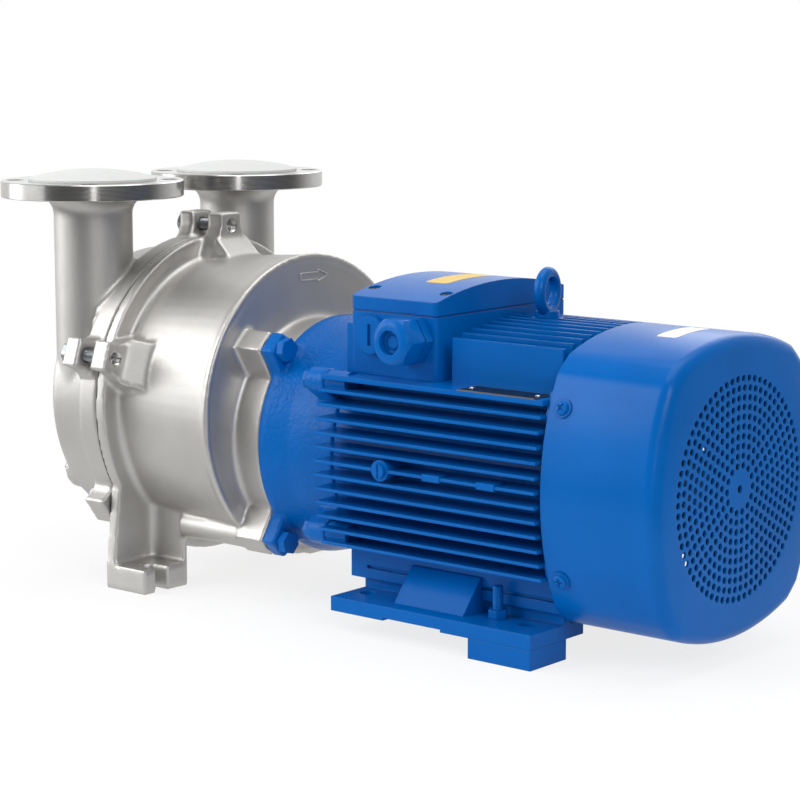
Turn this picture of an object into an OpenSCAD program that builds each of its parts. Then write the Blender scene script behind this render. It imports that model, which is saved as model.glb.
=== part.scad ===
// Close-coupled liquid ring vacuum pump: stainless wet end on a flange-mounted, foot-mounted motor.
// Millimetres. X runs along the shaft towards the fan, Z is up, the floor is Z = 0.
// Inside place() the shaft axis is Y = Z = 0 and X = 0 is the plane of the two ports.

/* [Layout] */
// Height of the shaft axis above the floor
shaft_h = 127; // [122:1:134]
// Rise of the casing axis above the shaft axis
eccentricity = 20; // [16:1:22]
// Clearance between pieces that slide together
fit = 0.05; // [0.03:0.01:0.1]
// Clearance between pieces that move past each other
run_gap = 0.4; // [0.3:0.1:0.8]

/* [Ports] */
// Bore of each port
port_bore = 50; // [44:1:54]
// Wall of the port necks
port_wall = 7; // [6:0.5:9]
// Distance between the two port axes
port_spacing = 170; // [164:1:176]
// Height of the flange faces above the shaft axis
port_rise = 199; // [190:1:210]
// Diameter of the port flanges
flange_d = 148; // [145:1:152]
// Thickness of the port flanges
flange_t = 13; // [11:1:16]
// Bolt circle of the port flanges
flange_pcd = 125; // [122:1:127]
// Diameter of the flange bolt holes
flange_hole_d = 14; // [11:1:16]
// Fillet between neck and flange
neck_fillet = 14; // [8:1:18]

/* [Dust caps] */
// Diameter of a dust cap
cap_d = 104; // [96:1:108]
// Thickness of the cap at its edge
cap_edge = 2; // [1.5:0.5:4]
// Height of the cap's crown above its edge
cap_crown = 7; // [4:0.5:10]
// Length of the plug that enters the port
cap_plug = 14; // [8:1:20]

/* [Port cover] */
// Distance from the port axes to the cover's parting face
port_to_parting = 47.5; // [44:0.5:52]
// Distance from the port axes to the cover's front face
cover_front = 22; // [20:1:28]
// Radius of the cover body
cover_r = 118; // [116:0.5:121]
// Radius of the cover flange
cover_flange_r = 131; // [129:0.5:133]
// Thickness of the cover flange
cover_flange_t = 20; // [16:1:22]
// Wall of the cover body
cover_wall = 8; // [6:0.5:10]
// Thickness of the gasket under the cover
gasket_t = 0.5; // [0.4:0.1:1]

/* [Pump casing] */
// Bore of the casing
casing_bore = 216; // [212:1:220]
// Outer radius of the casing at the rim
casing_r = 115; // [114:0.5:116]
// Extra radius at the shoulder, from the casting draft
casing_draft = 6; // [3:0.5:7]
// Length from the parting face to the shoulder
casing_len = 114; // [110:1:122]
// Thickness of the casing's rear wall
casing_back_t = 12; // [10:1:14]
// Radius of the casing rim
rim_r = 131.5; // [130:0.5:133]
// Thickness of the casing rim
rim_t = 10; // [9.5:0.5:12]
// Radius of the boss that carries the motor
boss_r = 90; // [88:0.5:92]
// Length of that boss
boss_len = 25.5; // [22:0.5:28]
// Bolt circle of the motor flange
motor_pcd = 215; // [212:1:217]
// Distance of the ear ends from the shaft axis
ear_reach = 116; // [115:0.5:119]
// Width of an ear at its end
ear_w = 19; // [17:0.5:22]
// Width of an ear at its root
ear_root_w = 36; // [32:1:40]

/* [Casing lugs] */
// Bolt circle radius of the casing lugs
lug_r = 140; // [139:0.5:142]
// Length of a lug along the shaft
lug_len = 16.5; // [15:0.5:18]
// Gap between the lugs of a pair
lug_gap = 16; // [14:1:17]
// Diameter of the casing bolts
casing_bolt_d = 10; // [8:1:12]

/* [Pump feet] */
// Length of a foot pad along the shaft
foot_l = 45; // [42:1:48]
// Distance from the shaft plane to the outer edge of a foot
foot_out = 123; // [121:1:126]
// Distance from the shaft plane to the web of a foot
foot_in = 79; // [77:1:82]
// Thickness of a foot pad
foot_t = 19.5; // [16:0.5:22]
// Thickness of the foot's webs
foot_web = 10; // [8:0.5:10]
// Thickness of the foot's side web
foot_side_web = 4.5; // [4:0.5:7]
// Width of the foot slot
slot_w = 12; // [11:0.5:14]
// Length of the foot slot from its open end
slot_l = 21; // [16:1:26]

/* [Control disc and valve] */
// Thickness of the control disc
disc_t = 8; // [7:0.5:9]
// Inner radius of the ports in the disc
disc_port_r1 = 42; // [40:1:46]
// Outer radius of the ports in the disc
disc_port_r2 = 66; // [60:1:70]
// Length of the valve flap from its clamp
flap_l = 46; // [40:1:52]
// Width of the valve flap
flap_w = 40; // [34:1:44]
// Thickness of the valve flap
flap_t = 1; // [0.8:0.1:1.4]

/* [Impeller] */
// Number of vanes
vane_count = 14; // [10:1:16]
// Thickness of a vane
vane_t = 4; // [3:0.5:5]
// Bend radius of a vane
vane_bend = 55; // [50:1:64]
// Radius of the impeller hub
hub_r = 34; // [32:1:37]

/* [Shaft and bearings] */
// Shaft diameter in the impeller
shaft_d = 28; // [27:0.5:29]
// Shaft diameter in the bearings
bearing_bore = 30; // [30:0.5:32]
// Outer diameter of the drive-end bearing
de_bearing_od = 72; // [70:1:76]
// Width of the drive-end bearing
de_bearing_w = 19; // [17:1:21]
// Outer diameter of the rear bearing
nde_bearing_od = 62; // [60:1:66]
// Width of the rear bearing
nde_bearing_w = 16; // [15:1:18]
// Balls in each bearing
ball_count = 8; // [7:1:8]

/* [Motor] */
// Length of the drive-end shield
shield_len = 74.5; // [72:0.5:82]
// Thickness of the motor flange
motor_flange_t = 13.5; // [11:0.5:15]
// Length of the motor frame
frame_len = 206; // [200:1:214]
// Outer radius of the stator
stator_r = 79.5; // [78:0.5:82]
// Wall of the frame barrel
frame_wall = 8; // [7.5:0.5:9]
// Bore radius of the stator
stator_bore_r = 55.5; // [53:0.5:57]
// Length of the stator stack
stack_len = 120; // [110:1:126]
// Half width of the frame over its fins
fin_half_w = 110; // [109:0.5:112]
// Half height of the frame over its fins
fin_half_h = 109; // [107:0.5:110]
// Spacing of the fins
fin_pitch = 10.6; // [10.4:0.1:10.8]
// Thickness of a fin at its tip
fin_t = 2.4; // [2:0.1:3]
// Height of the ledge under the terminal box
ledge_h = 64; // [62:1:66]
// Half width of the top fin group
top_group = 75; // [74:0.5:78]

/* [Fan cowl] */
// Length from the frame to the cowl's face
cowl_len = 99; // [96:1:110]
// Gap between the frame's fins and the cowl
cowl_gap = 3; // [2:0.5:5]
// Half width of the cowl
cowl_half_w = 107; // [106:0.5:109]
// Half height of the cowl
cowl_half_h = 110; // [109:0.5:112]
// Radius that rounds the cowl's corners
cowl_corner_r = 121; // [119:0.5:122]
// Sheet thickness of the cowl
cowl_t = 2; // [1.5:0.5:2.5]
// Bend radius at the cowl's face
cowl_bend = 10; // [7:0.5:12]
// Radius of the perforated field
grille_r = 79; // [74:1:82]
// Rings of holes
grille_rings = 10; // [8:1:10]
// Diameter of a hole
grille_hole_d = 5; // [4:0.2:5.4]
// Number of fan blades
fan_blades = 7; // [5:1:9]
// Radius of the fan
fan_r = 88; // [80:1:92]

/* [Terminal box] */
// Distance from the frame's front to the box
box_from_front = 11.5; // [10:0.5:18]
// Length of the box along the shaft
box_l = 83; // [78:1:86]
// Half width of the box
box_half_w = 80; // [78:0.5:82]
// Height of the joint between base and lid, above the shaft axis
box_seam = 112.5; // [111:0.5:115]
// Height of the lid at its edges
lid_edge = 10; // [8:0.5:12]
// Rise of the lid's arch
lid_arch = 11; // [8:0.5:13]
// Wall of the box
box_wall = 5; // [4:0.5:6]
// Distance of the cable entries from the box's middle
entry_offset = 20; // [18:0.5:22]
// Height of the cable entries above the shaft axis
entry_h = 95.5; // [94:0.5:96]
// Width across the flats of the gland
gland_af = 33; // [30:1:34]

/* [Motor feet] */
// Distance between the foot holes across the motor
foot_gauge = 170; // [166:1:176]
// Distance from the front end of a foot plate to its front hole
hole_front = 14.5; // [12:0.5:17]
// Distance from the rear end of a foot plate to its rear hole
hole_rear = 21.5; // [19:0.5:24]
// Diameter of the foot holes
foot_hole_d = 12; // [11:0.5:13]
// Thickness of the foot plate
plate_t = 11; // [10:0.5:12]
// Thickness of the spacer blocks
spacer_t = 15; // [12:1:16]
// Length of a spacer block
spacer_l = 56; // [54:1:58]
// Distance from the shaft plane to the edge of the foot plates
plate_out = 110; // [109:0.5:112]

/* [Hidden] */
$fn = 64;
eps = 0.01;
stainless = "#b9b5ae";
machined = "#d6d6d6";
blue = "#0a62be";
steel = "#8d9299";
white = "#f2f2f0";
black = "#26282b";
copper = "#b06a33";
brass = "#c9a14a";

// Stations along the shaft, from the port plane
casing_front = port_to_parting + gasket_t;
casing_back = casing_front + casing_len;
boss_face = casing_back + boss_len;
motor_flange_back = boss_face + motor_flange_t;
frame_front = boss_face + shield_len;
frame_rear = frame_front + frame_len;
cowl_face = frame_rear + cowl_len;
mid_x = (cowl_face - flange_d / 2) / 2;
floor_z = -shaft_h;

// Cover and casing
port_y = port_spacing / 2;
neck_r = port_bore / 2 + port_wall;
bore_r = casing_bore / 2;
recess_r = bore_r + 9;
disc_r = recess_r - fit;
lug_angles = [90, 162, 18];
low_lug_angles = [216, 324];
low_lug_r = rim_r + 0.5;
lug_tip_r = lug_r + 11;
low_lug_tip_r = low_lug_r + 15;
lug_w = 24;
lug_flat = 11;
lug_root_w = 46;
casing_lug_u = casing_front + rim_t;
cover_lug_u = casing_lug_u - lug_gap - lug_len;
low_seat_u = cover_lug_u + 0.6;
casing_bolt_r = casing_bolt_d / 2;
spot_face_r = casing_bolt_r * 2.1;
low_bolt_in = foot_web - 3;
plug_y = 80;
plug_z = eccentricity - 62;
plug_boss = 6;
plug_boss_r = 17;
plug_r = 8.5;
plug_face = -cover_front - plug_boss;
lip = 1.5;
boss_fillet = 5;
ear_r = motor_pcd / 2;
ear_pos = ear_r / sqrt(2);
ear_bolt_r = 5;
ear_bolt_len = 18;
rib_r = 10;
foot_u = casing_front;
foot_edge = foot_in - foot_side_web;
foot_fillet = 8;
foot_top_y = 116;
foot_top_z = eccentricity - 66;

// Valve
flap_y = 20;
flap_z = eccentricity + 20;
flap_lift = 6;
valve_hole_r = 5;
stop_foot = 8;
stop_t = 2;

// Impeller, seal and shaft
impeller_tip_gap = 2;
impeller_r = bore_r - eccentricity - impeller_tip_gap;
impeller_front = casing_front + disc_t + run_gap;
impeller_back = casing_back - casing_back_t - run_gap;
shaft_r = shaft_d / 2;
nut_r = 13;
nut_h = 12;
nut_recess_r = 18;
nut_recess = nut_h + 4;
nut_seat = impeller_front + nut_recess;
thread_r = 8;
key_w = 8;
key_h = 7;
key_top = shaft_r + 3;
key_u = nut_seat + 8;
key_len = impeller_back - key_u - 10;
seal_cavity_r = 32;
seal_housing_r = 40;
seal_back = casing_back + 18;
seal_collar = 10;
seat_t = 8;
seat_r = 25;
seat_u = seal_back - 2 - seat_t;
pocket_r = 70;
spigot_h = 4;

// Bearings
de_bearing_u = boss_face + 29;
de_bore_r = de_bearing_od / 2;
nde_bearing_u = frame_rear - 4;
nde_bore_r = nde_bearing_od / 2;
bearing_r = bearing_bore / 2;
ball_gap = 0.12;
hub_wall = 9;
lip_r = 24;
lip_t = 8;

// Motor
barrel_r = stator_r + frame_wall;
shield_r = barrel_r + 1.5;
shield_crown_r = 95.5;
tie_y = 88;
tie_z = 58;
tie_boss_r = 10;
tie_boss_len = 20;
tie_r = 4;
frame_boss_len = 20;
stack_u = frame_front + (frame_len - stack_len) / 2 + 5;
rotor_r = stator_bore_r - 0.5;
rotor_seat_r = 22;
rotor_over = 14;
end_ring_w = 18;
winding_len = 26;
side_fins = 13;
top_pairs = 7;
low_pairs = 5;
low_fin_short = 12;
low_fin_u = frame_front + 14;
skirt_u = frame_front + 6.5;
fin_side_r = 225;
fin_top_r = 285;
fin_root_t = fin_t + 1.4;
ledge_top = ledge_h + fin_t / 2;
skirt_y = 74;
skirt_in = 62;
skirt_top = -40;
groove_u = skirt_u + 16;
groove_d = 2.5;
groove_h = 2.4;
riser_h = 8;
plate_top = floor_z + spacer_t + plate_t;
skirt_bottom = plate_top + riser_h;
rear_face_t = 10;
earth_u = frame_front + 65;
earth_z = ledge_h - 6 * fin_pitch;
earth_boss_r = 8;
earth_r = 3;
earth_len = 10;
pad_us = [earth_u + 48.5, earth_u + 98];
pad_l = 16;
pad_h = 5;
pad_depth = 12;
pad_proud = 0.6;

// Fan and cowl
fan_seat_r = 12;
fan_u = frame_rear + 22;
fan_len = 38;
clip_u = fan_u + fan_len;
clip_t = 1.6;
shaft_end = clip_u + 6;
cowl_side_r = 190;
cowl_top_r = 200;
cowl_front_u = frame_rear + cowl_gap;
cowl_screw_u = frame_rear + 15;
cowl_screw_z = 61;
cowl_screw_r = 3;
cowl_screw_len = 10;
cowl_pad = 20;
grille_hub_r = 17;
grille_spacing = 7.3;

// Terminal box
box_u = frame_front + box_from_front;
box_mid = box_u + box_l / 2;
box_corner = 4;
box_step = 5;
box_step_down = 10;
seam_gasket = 1;
top_fins_u = box_u + box_l + 12;
lid_bottom = box_seam + seam_gasket;
lid_r = (pow(box_half_w, 2) + pow(lid_arch, 2)) / (2 * lid_arch);
lid_screw_in = 7;
lid_screw_y = box_half_w - 20;
lid_screw_r = 2.5;
lid_screw_depth = 14;
lid_post_r = 6;
lid_head_r = 4.5;
lid_head_h = 3.5;
lid_seat = lid_bottom + lid_edge;
block_l = 44;
block_w = 60;
block_top = barrel_r + 14;
stud_r = 2.5;
entry_r = 12.5;
plug_disc_r = 14.5;
gland_hex = 8;
gland_cap = 20;
gland_dome = 8;
gland_bore_r = 9;

// Feet and trim
plate_u = frame_front + 17;
plate_l = frame_rear - plate_u - 2;
plate_in = 46;
riser_out = 70;
gusset_u = plate_u + plate_l * 0.273;
gusset_l = plate_l * 0.348;
gusset_out = 97;
gusset_top = plate_top + 25;
relief_l = plate_l * 0.29;
hole_u1 = plate_u + hole_front;
hole_u2 = plate_u + plate_l - hole_rear;
spacer_w = 43;
spacer_u = plate_u + plate_l - spacer_l;
spacer_stud_r = 4;
spacer_stud_u = spacer_u + 6.5;
spacer_stud_y = plate_out - 27;
spacer_stud_up = 24;
spacer_stud_in = 11;
spacer_nut_h = 6.5;
eye_u = box_u + box_l + 41;
eye_seat = fin_half_h;
eye_ring_r = 14;
eye_tube_r = 4.5;
eye_foot_r = 9;
eye_thread_r = 4;
eye_shank = 12;
eye_turn = 12;
name_l = 69;
name_w = 23;
name_t = 0.8;
name_rear = 8;
name_u = frame_rear - name_rear - name_l;
rivet_r = 1.2;

// Puts a piece drawn about the shaft axis into the part's frame
module place() {
    translate([-mid_x, 0, shaft_h]) children();
}

// Turns a piece drawn along Z so that its own X, Y and Z become Y, Z and X, at station u
module along_x(u) {
    translate([u, 0, 0]) rotate([90, 0, 90]) children();
}

// Moves a piece from the shaft axis to the casing axis
module on_casing() {
    translate([0, 0, eccentricity]) children();
}

module rod(u, len, r) {
    along_x(u) cylinder(h = len, r = r);
}

module tube(u, len, r_out, r_in) {
    along_x(u) linear_extrude(len) difference() {
        circle(r_out);
        circle(r_in);
    }
}

module both_sides() {
    children();
    mirror([0, 1, 0]) children();
}

// Copies a piece drawn at +Y into the four corners of the motor flange
module four_ears() {
    for (turn = [45 : 90 : 315]) rotate([turn, 0, 0]) children();
}

// Points of an arc in the plane, from angle a0 to a1
function arc(cx, cy, r, a0, a1, steps = 8) =
    [for (i = [0 : steps]) let (a = a0 + (a1 - a0) * i / steps) [cx + r * cos(a), cy + r * sin(a)]];

// A hex-head screw along +Z: its head lies below Z = 0 and its shank above
module hex_screw(r, len, flats, head) {
    cylinder(h = len, r = r);
    translate([0, 0, -head]) cylinder(h = head, r = flats / sqrt(3), $fn = 6);
}

// Port flange, fillet, neck and round foot of the neck, revolved about Z with the flange face at Z = 0
module port_neck(len) {
    under = -flange_t;
    rotate_extrude() polygon(concat(
        [[0, 0], [flange_d / 2, 0], [flange_d / 2, under]],
        arc(neck_r + neck_fillet, under - neck_fillet, neck_fillet, 90, 180),
        arc(0, -len, neck_r, 0, -90),
        [[0, -len - neck_r]]));
}

// One lug drawn outwards along +Y: a block at its end that widens towards the body
module lug(u, len, root_r, tip_r = lug_tip_r) {
    along_x(u) linear_extrude(len) polygon([
        [root_r, -lug_root_w / 2], [root_r, lug_root_w / 2],
        [tip_r - lug_flat, lug_w / 2], [tip_r, lug_w / 2],
        [tip_r, -lug_w / 2], [tip_r - lug_flat, -lug_w / 2]]);
}

// The sloping rib that carries a casing lug, drawn outwards along +Y
module lug_rib(u) {
    rise = rim_r - casing_r;
    root = casing_r - 4;
    translate([u, 0, 0]) linear_extrude(lug_root_w - 8, center = true)
        polygon([[0, root], [0, casing_r + rise], [4 + rise, root]]);
}

// Outline of one flange ear drawn along +Y
module ear(u, len) {
    along_x(u) linear_extrude(len) polygon([
        [boss_r - 8, -ear_root_w / 2], [boss_r - 8, ear_root_w / 2],
        [ear_reach, ear_w / 2], [ear_reach, -ear_w / 2]]);
}

module port_cover() {
    depth = cover_front + port_to_parting;
    chamber_r = cover_r - cover_wall;
    color(stainless) place() difference() {
        union() {
            on_casing() along_x(-cover_front) rotate_extrude() polygon(concat(
                [[0, 0]],
                arc(chamber_r, cover_wall, cover_wall, -90, 0),
                [[cover_r, depth - cover_flange_t - 5], [cover_flange_r, depth - cover_flange_t]],
                [[cover_flange_r, depth], [0, depth]]));
            for (s = [-1, 1]) translate([0, s * port_y, port_rise])
                port_neck(port_rise - eccentricity);
            on_casing() {
                for (a = lug_angles) rotate([a, 0, 0])
                    lug(cover_lug_u, lug_len, chamber_r + 2);
                for (a = low_lug_angles) rotate([a, 0, 0])
                    lug(cover_lug_u, port_to_parting - cover_lug_u - 0.6, chamber_r + 2, low_lug_tip_r);
            }
            for (s = [-1, 1]) translate([0, s * plug_y, plug_z])
                rod(plug_face, plug_boss + 2, plug_boss_r);
        }
        // Suction and discharge chambers, open at the parting face
        on_casing() for (s = [-1, 1]) along_x(-cover_front + cover_wall)
            linear_extrude(depth) intersection() {
                circle(chamber_r);
                translate([s * (chamber_r + cover_wall / 2), 0]) square(2 * chamber_r, center = true);
            }
        for (s = [-1, 1]) translate([0, s * port_y, eccentricity])
            cylinder(h = port_rise, r = port_bore / 2);
        for (s = [-1, 1], a = [45 : 90 : 315]) translate([0, s * port_y, port_rise])
            rotate(a) translate([flange_pcd / 2, 0, -flange_t - 1])
                cylinder(h = flange_t + 2, d = flange_hole_d);
        bolt_places() rod(cover_lug_u - 1, port_to_parting - cover_lug_u + 2, casing_bolt_r + fit);
        lower_bolt_places() rod(low_seat_u - 14, 14, spot_face_r);
        for (s = [-1, 1]) translate([0, s * plug_y, plug_z])
            rod(plug_face - 1, plug_boss + cover_wall + 2, plug_r + fit);
    }
}

// Copies a piece to every casing bolt
module bolt_places() {
    upper_bolt_places() children();
    lower_bolt_places() children();
}

module upper_bolt_places() {
    on_casing() for (a = lug_angles) rotate([a, 0, 0]) translate([0, lug_r, 0]) children();
}

module lower_bolt_places() {
    on_casing() for (a = low_lug_angles) rotate([a, 0, 0]) translate([0, low_lug_r, 0]) children();
}

module cover_gasket() {
    color(black) place() difference() {
        on_casing() tube(port_to_parting, gasket_t, cover_flange_r, cover_r - cover_wall);
        bolt_places() rod(port_to_parting - 1, gasket_t + 2, casing_bolt_r + fit);
    }
}

// A curved slot with round ends about the shaft axis, from angle a0 to a1
module kidney(a0, a1) {
    mid = (disc_port_r1 + disc_port_r2) / 2;
    end_r = disc_port_r2 - mid;
    polygon(concat(
        arc(0, 0, disc_port_r2, a0, a1, 20),
        arc(mid * cos(a1), mid * sin(a1), end_r, a1 + 15, a1 + 165, 8),
        arc(0, 0, disc_port_r1, a1, a0, 20),
        arc(mid * cos(a0), mid * sin(a0), end_r, a0 + 195, a0 + 345, 8)));
}

module control_disc() {
    color(machined) place() difference() {
        on_casing() rod(casing_front, disc_t, disc_r);
        along_x(casing_front - 1) linear_extrude(disc_t + 2) {
            kidney(125, 215);
            kidney(-40, 0);
            for (i = [0 : 2], j = [0, 1])
                translate([flap_y + flap_l * (0.25 + 0.25 * i), flap_z + (j - 0.5) * flap_w / 2])
                    circle(valve_hole_r);
        }
    }
}

module valve_flap() {
    color(white) place() translate([casing_front - run_gap - flap_t, flap_y, flap_z - flap_w / 2])
        cube([flap_t, flap_l, flap_w]);
}

// Keeper of the flap: a foot on the control disc and a plate that limits the flap's lift
module valve_stop() {
    clear = run_gap + flap_t + flap_lift;
    color(steel) place() translate([casing_front, flap_y - run_gap, flap_z])
        linear_extrude(flap_w - 6, center = true) polygon([
            [0, 0], [0, -stop_foot], [-clear - stop_t, -stop_foot],
            [-clear - stop_t, flap_l - 4], [-clear, flap_l - 4], [-clear, 0]]);
}

// Foot of the casing on the +Y side: pad with an open slot, front web and side web
module casing_foot() {
    pad_top = floor_z + foot_t;
    slot_y = foot_out - 19;
    slot_end = foot_u + foot_l - slot_l + slot_w / 2;
    barrel_z = eccentricity - sqrt(pow(casing_r, 2) - pow(foot_in, 2));
    difference() {
        union() {
            translate([foot_u, foot_edge, floor_z]) cube([foot_l, foot_out - foot_edge, foot_t]);
            along_x(foot_u) linear_extrude(foot_web) polygon([
                [foot_edge, pad_top - 1], [foot_out, pad_top - 1],
                [foot_top_y, foot_top_z], [foot_top_y - 16, foot_top_z + 18],
                [foot_edge, barrel_z + 12]]);
            translate([foot_u, foot_edge, pad_top - 1]) linear_extrude(barrel_z - pad_top + 6) {
                square([foot_l, foot_side_web]);
                translate([foot_web, foot_side_web]) polygon(concat(
                    [[-1, -1], [foot_fillet, -1]],
                    arc(foot_fillet, foot_fillet, foot_fillet, 270, 180),
                    [[-1, foot_fillet]]));
            }
        }
        foot_slot(slot_end, slot_y);
    }
}

// The slot of a foot: a round end and a straight run out of the pad
module foot_slot(end_u, y) {
    translate([end_u, y, floor_z - 1]) linear_extrude(foot_t + 1 + eps) {
        circle(d = slot_w);
        translate([0, -slot_w / 2]) square([foot_l, slot_w]);
    }
}

module pump_casing() {
    rim_back = casing_front + rim_t;
    rim_fillet = 6;
    shoulder_r = casing_r + casing_draft;
    color(stainless) place() difference() {
        union() {
            on_casing() along_x(0) rotate_extrude() polygon(concat(
                [[0, casing_front], [rim_r, casing_front], [rim_r, rim_back]],
                arc(casing_r + rim_fillet, rim_back + rim_fillet, rim_fillet, 270, 180),
                [[shoulder_r, casing_back - 6], [shoulder_r + lip, casing_back - 4],
                 [shoulder_r + lip, casing_back - 1], [shoulder_r + lip - 1, casing_back],
                 [shoulder_r - 4, casing_back], [shoulder_r - 5, casing_back - 1], [0, casing_back - 1]]));
            along_x(0) rotate_extrude() polygon(concat(
                [[0, casing_back - 2]],
                [[boss_r + boss_fillet, casing_back - 2]],
                arc(boss_r + boss_fillet, casing_back - 1 + boss_fillet, boss_fillet, 270, 180),
                [[boss_r, boss_face], [0, boss_face]]));
            four_ears() ear(casing_back - 2, boss_len + 2);
            on_casing() for (a = lug_angles) rotate([a, 0, 0]) {
                lug(casing_lug_u, lug_len, casing_r - 4);
                lug_rib(casing_lug_u + lug_len);
            }
            both_sides() {
                casing_foot();
                translate([0, ear_pos, -ear_pos])
                    rod(foot_u + foot_l, boss_face - foot_u - foot_l, rib_r);
            }
        }
        on_casing() {
            rod(casing_front - 1, disc_t + 1, recess_r);
            rod(casing_front, casing_len - casing_back_t, bore_r);
        }
        // Seal cavity, seat and shaft passage
        rod(casing_back - casing_back_t - 1, seat_u - casing_back + casing_back_t + 1, seal_cavity_r);
        rod(seat_u - 1, seat_t + 1, seat_r + fit);
        rod(seat_u, boss_len, shaft_r + 4);
        // Pocket behind the seal housing, which takes the motor spigot
        difference() {
            rod(casing_back + 8, boss_len, pocket_r);
            rod(casing_back, seal_back - casing_back, seal_housing_r);
        }
        upper_bolt_places() rod(casing_front - 1, rim_t + lug_len + 2, casing_bolt_r + fit);
        lower_bolt_places() rod(casing_front - 1, low_bolt_in + 2, casing_bolt_r + fit);
        four_ears() translate([0, ear_r, 0])
            rod(boss_face - ear_bolt_len, ear_bolt_len + 1, ear_bolt_r + fit);
    }
}

module casing_bolts() {
    flats = casing_bolt_d * 1.6;
    head = casing_bolt_d * 0.64;
    color(steel) place() {
        upper_bolt_places() along_x(cover_lug_u)
            hex_screw(casing_bolt_r, casing_lug_u + lug_len - cover_lug_u - 2, flats, head);
        lower_bolt_places() along_x(low_seat_u)
            hex_screw(casing_bolt_r, casing_front + low_bolt_in - low_seat_u, flats, head);
    }
}

// A hex plug with a collar, screwed into a boss of the cover on side s
module screw_plug(s) {
    color(steel) place() translate([0, s * plug_y, plug_z]) {
        rod(plug_face, plug_boss + cover_wall, plug_r);
        rod(plug_face - 3, 3, plug_r + 4);
        along_x(plug_face - 9) cylinder(h = 6, r = plug_r, $fn = 6);
    }
}

module feed_plug() {
    screw_plug(-1);
}

module drain_plug() {
    screw_plug(1);
}

// Moulded cap: a domed disc with a hollow plug that enters the port, on side s
module dust_cap(s) {
    edge_r = cap_d / 2;
    dome_r = (pow(edge_r, 2) + pow(cap_crown, 2)) / (2 * cap_crown);
    plug_out = port_bore / 2 - run_gap;
    plug_in = plug_out - 2;
    color(white) place() translate([0, s * port_y, port_rise]) rotate_extrude() polygon(concat(
        [[plug_in, -cap_plug], [plug_out, -cap_plug], [plug_out, 0], [edge_r, 0]],
        arc(0, cap_edge + cap_crown - dome_r, dome_r, acos(edge_r / dome_r), 90, 10),
        arc(0, cap_crown - dome_r, dome_r, 90, acos(plug_in / dome_r), 5)));
}

module suction_cap() {
    dust_cap(-1);
}

module discharge_cap() {
    dust_cap(1);
}

// One curved vane from the hub along +X, its tip leaning towards -Y, which is the way it turns
module vane() {
    intersection() {
        translate([hub_r, -vane_bend]) difference() {
            circle(vane_bend + vane_t / 2);
            circle(vane_bend - vane_t / 2);
        }
        circle(impeller_r);
        translate([hub_r - 3, -vane_bend]) square([impeller_r, vane_bend + vane_t]);
    }
}

module impeller() {
    len = impeller_back - impeller_front;
    color(machined) place() difference() {
        along_x(impeller_front) {
            linear_extrude(len) {
                circle(hub_r);
                for (i = [0 : vane_count - 1]) rotate(360 * i / vane_count) vane();
            }
            translate([0, 0, len / 2 - 3]) cylinder(h = 6, r = (impeller_r + hub_r) / 2);
        }
        rod(impeller_front - 1, len + 2, shaft_r + fit);
        rod(impeller_front - 1, nut_recess + 1, nut_recess_r);
        translate([impeller_front, -key_w / 2 - fit, 0]) cube([len + 1, key_w + 2 * fit, key_top + fit]);
    }
}

module impeller_key() {
    color(steel) place() translate([key_u, -key_w / 2, key_top - key_h]) cube([key_len, key_w, key_h]);
}

// Flanged nut that clamps the impeller on the shaft
module impeller_nut() {
    color(steel) place() difference() {
        union() {
            along_x(nut_seat - nut_h) cylinder(h = nut_h, r = nut_r, $fn = 6);
            rod(nut_seat - 3, 3, nut_recess_r - 1);
        }
        rod(nut_seat - nut_h - 1, nut_h + 2, thread_r + fit);
    }
}

module seal_head() {
    color(black) place() difference() {
        union() {
            rod(impeller_back, seal_collar, seal_cavity_r - 4);
            rod(impeller_back, seat_u - run_gap - impeller_back, seat_r - 3);
        }
        rod(impeller_back - 1, casing_back_t + boss_len, shaft_r + fit);
    }
}

module seal_seat() {
    color(white) place() tube(seat_u, seat_t, seat_r, shaft_r + 1);
}

module motor_shaft() {
    step_r = bearing_r + 5;
    color(steel) place() difference() {
        along_x(0) rotate_extrude() polygon([
            [0, nut_seat - nut_h - 2], [thread_r, nut_seat - nut_h - 2], [thread_r, nut_seat],
            [shaft_r, nut_seat], [shaft_r, de_bearing_u], [bearing_r, de_bearing_u],
            [bearing_r, de_bearing_u + de_bearing_w], [step_r, de_bearing_u + de_bearing_w],
            [step_r, stack_u - rotor_over], [rotor_seat_r, stack_u - rotor_over],
            [rotor_seat_r, stack_u + stack_len + rotor_over], [step_r, stack_u + stack_len + rotor_over],
            [step_r, nde_bearing_u], [bearing_r, nde_bearing_u], [bearing_r, nde_bearing_u + nde_bearing_w],
            [fan_seat_r, nde_bearing_u + nde_bearing_w], [fan_seat_r, clip_u],
            [fan_seat_r - 1, clip_u], [fan_seat_r - 1, clip_u + clip_t], [fan_seat_r, clip_u + clip_t],
            [fan_seat_r, shaft_end], [0, shaft_end]]);
        translate([key_u, -key_w / 2, key_top - key_h]) cube([key_len, key_w, key_h]);
    }
}

// Corner positions of the bolts that tie the drive-end shield to the frame
module tie_places() {
    for (sy = [-1, 1], sz = [-1, 1]) translate([0, sy * tie_y, sz * tie_z]) children();
}

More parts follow.
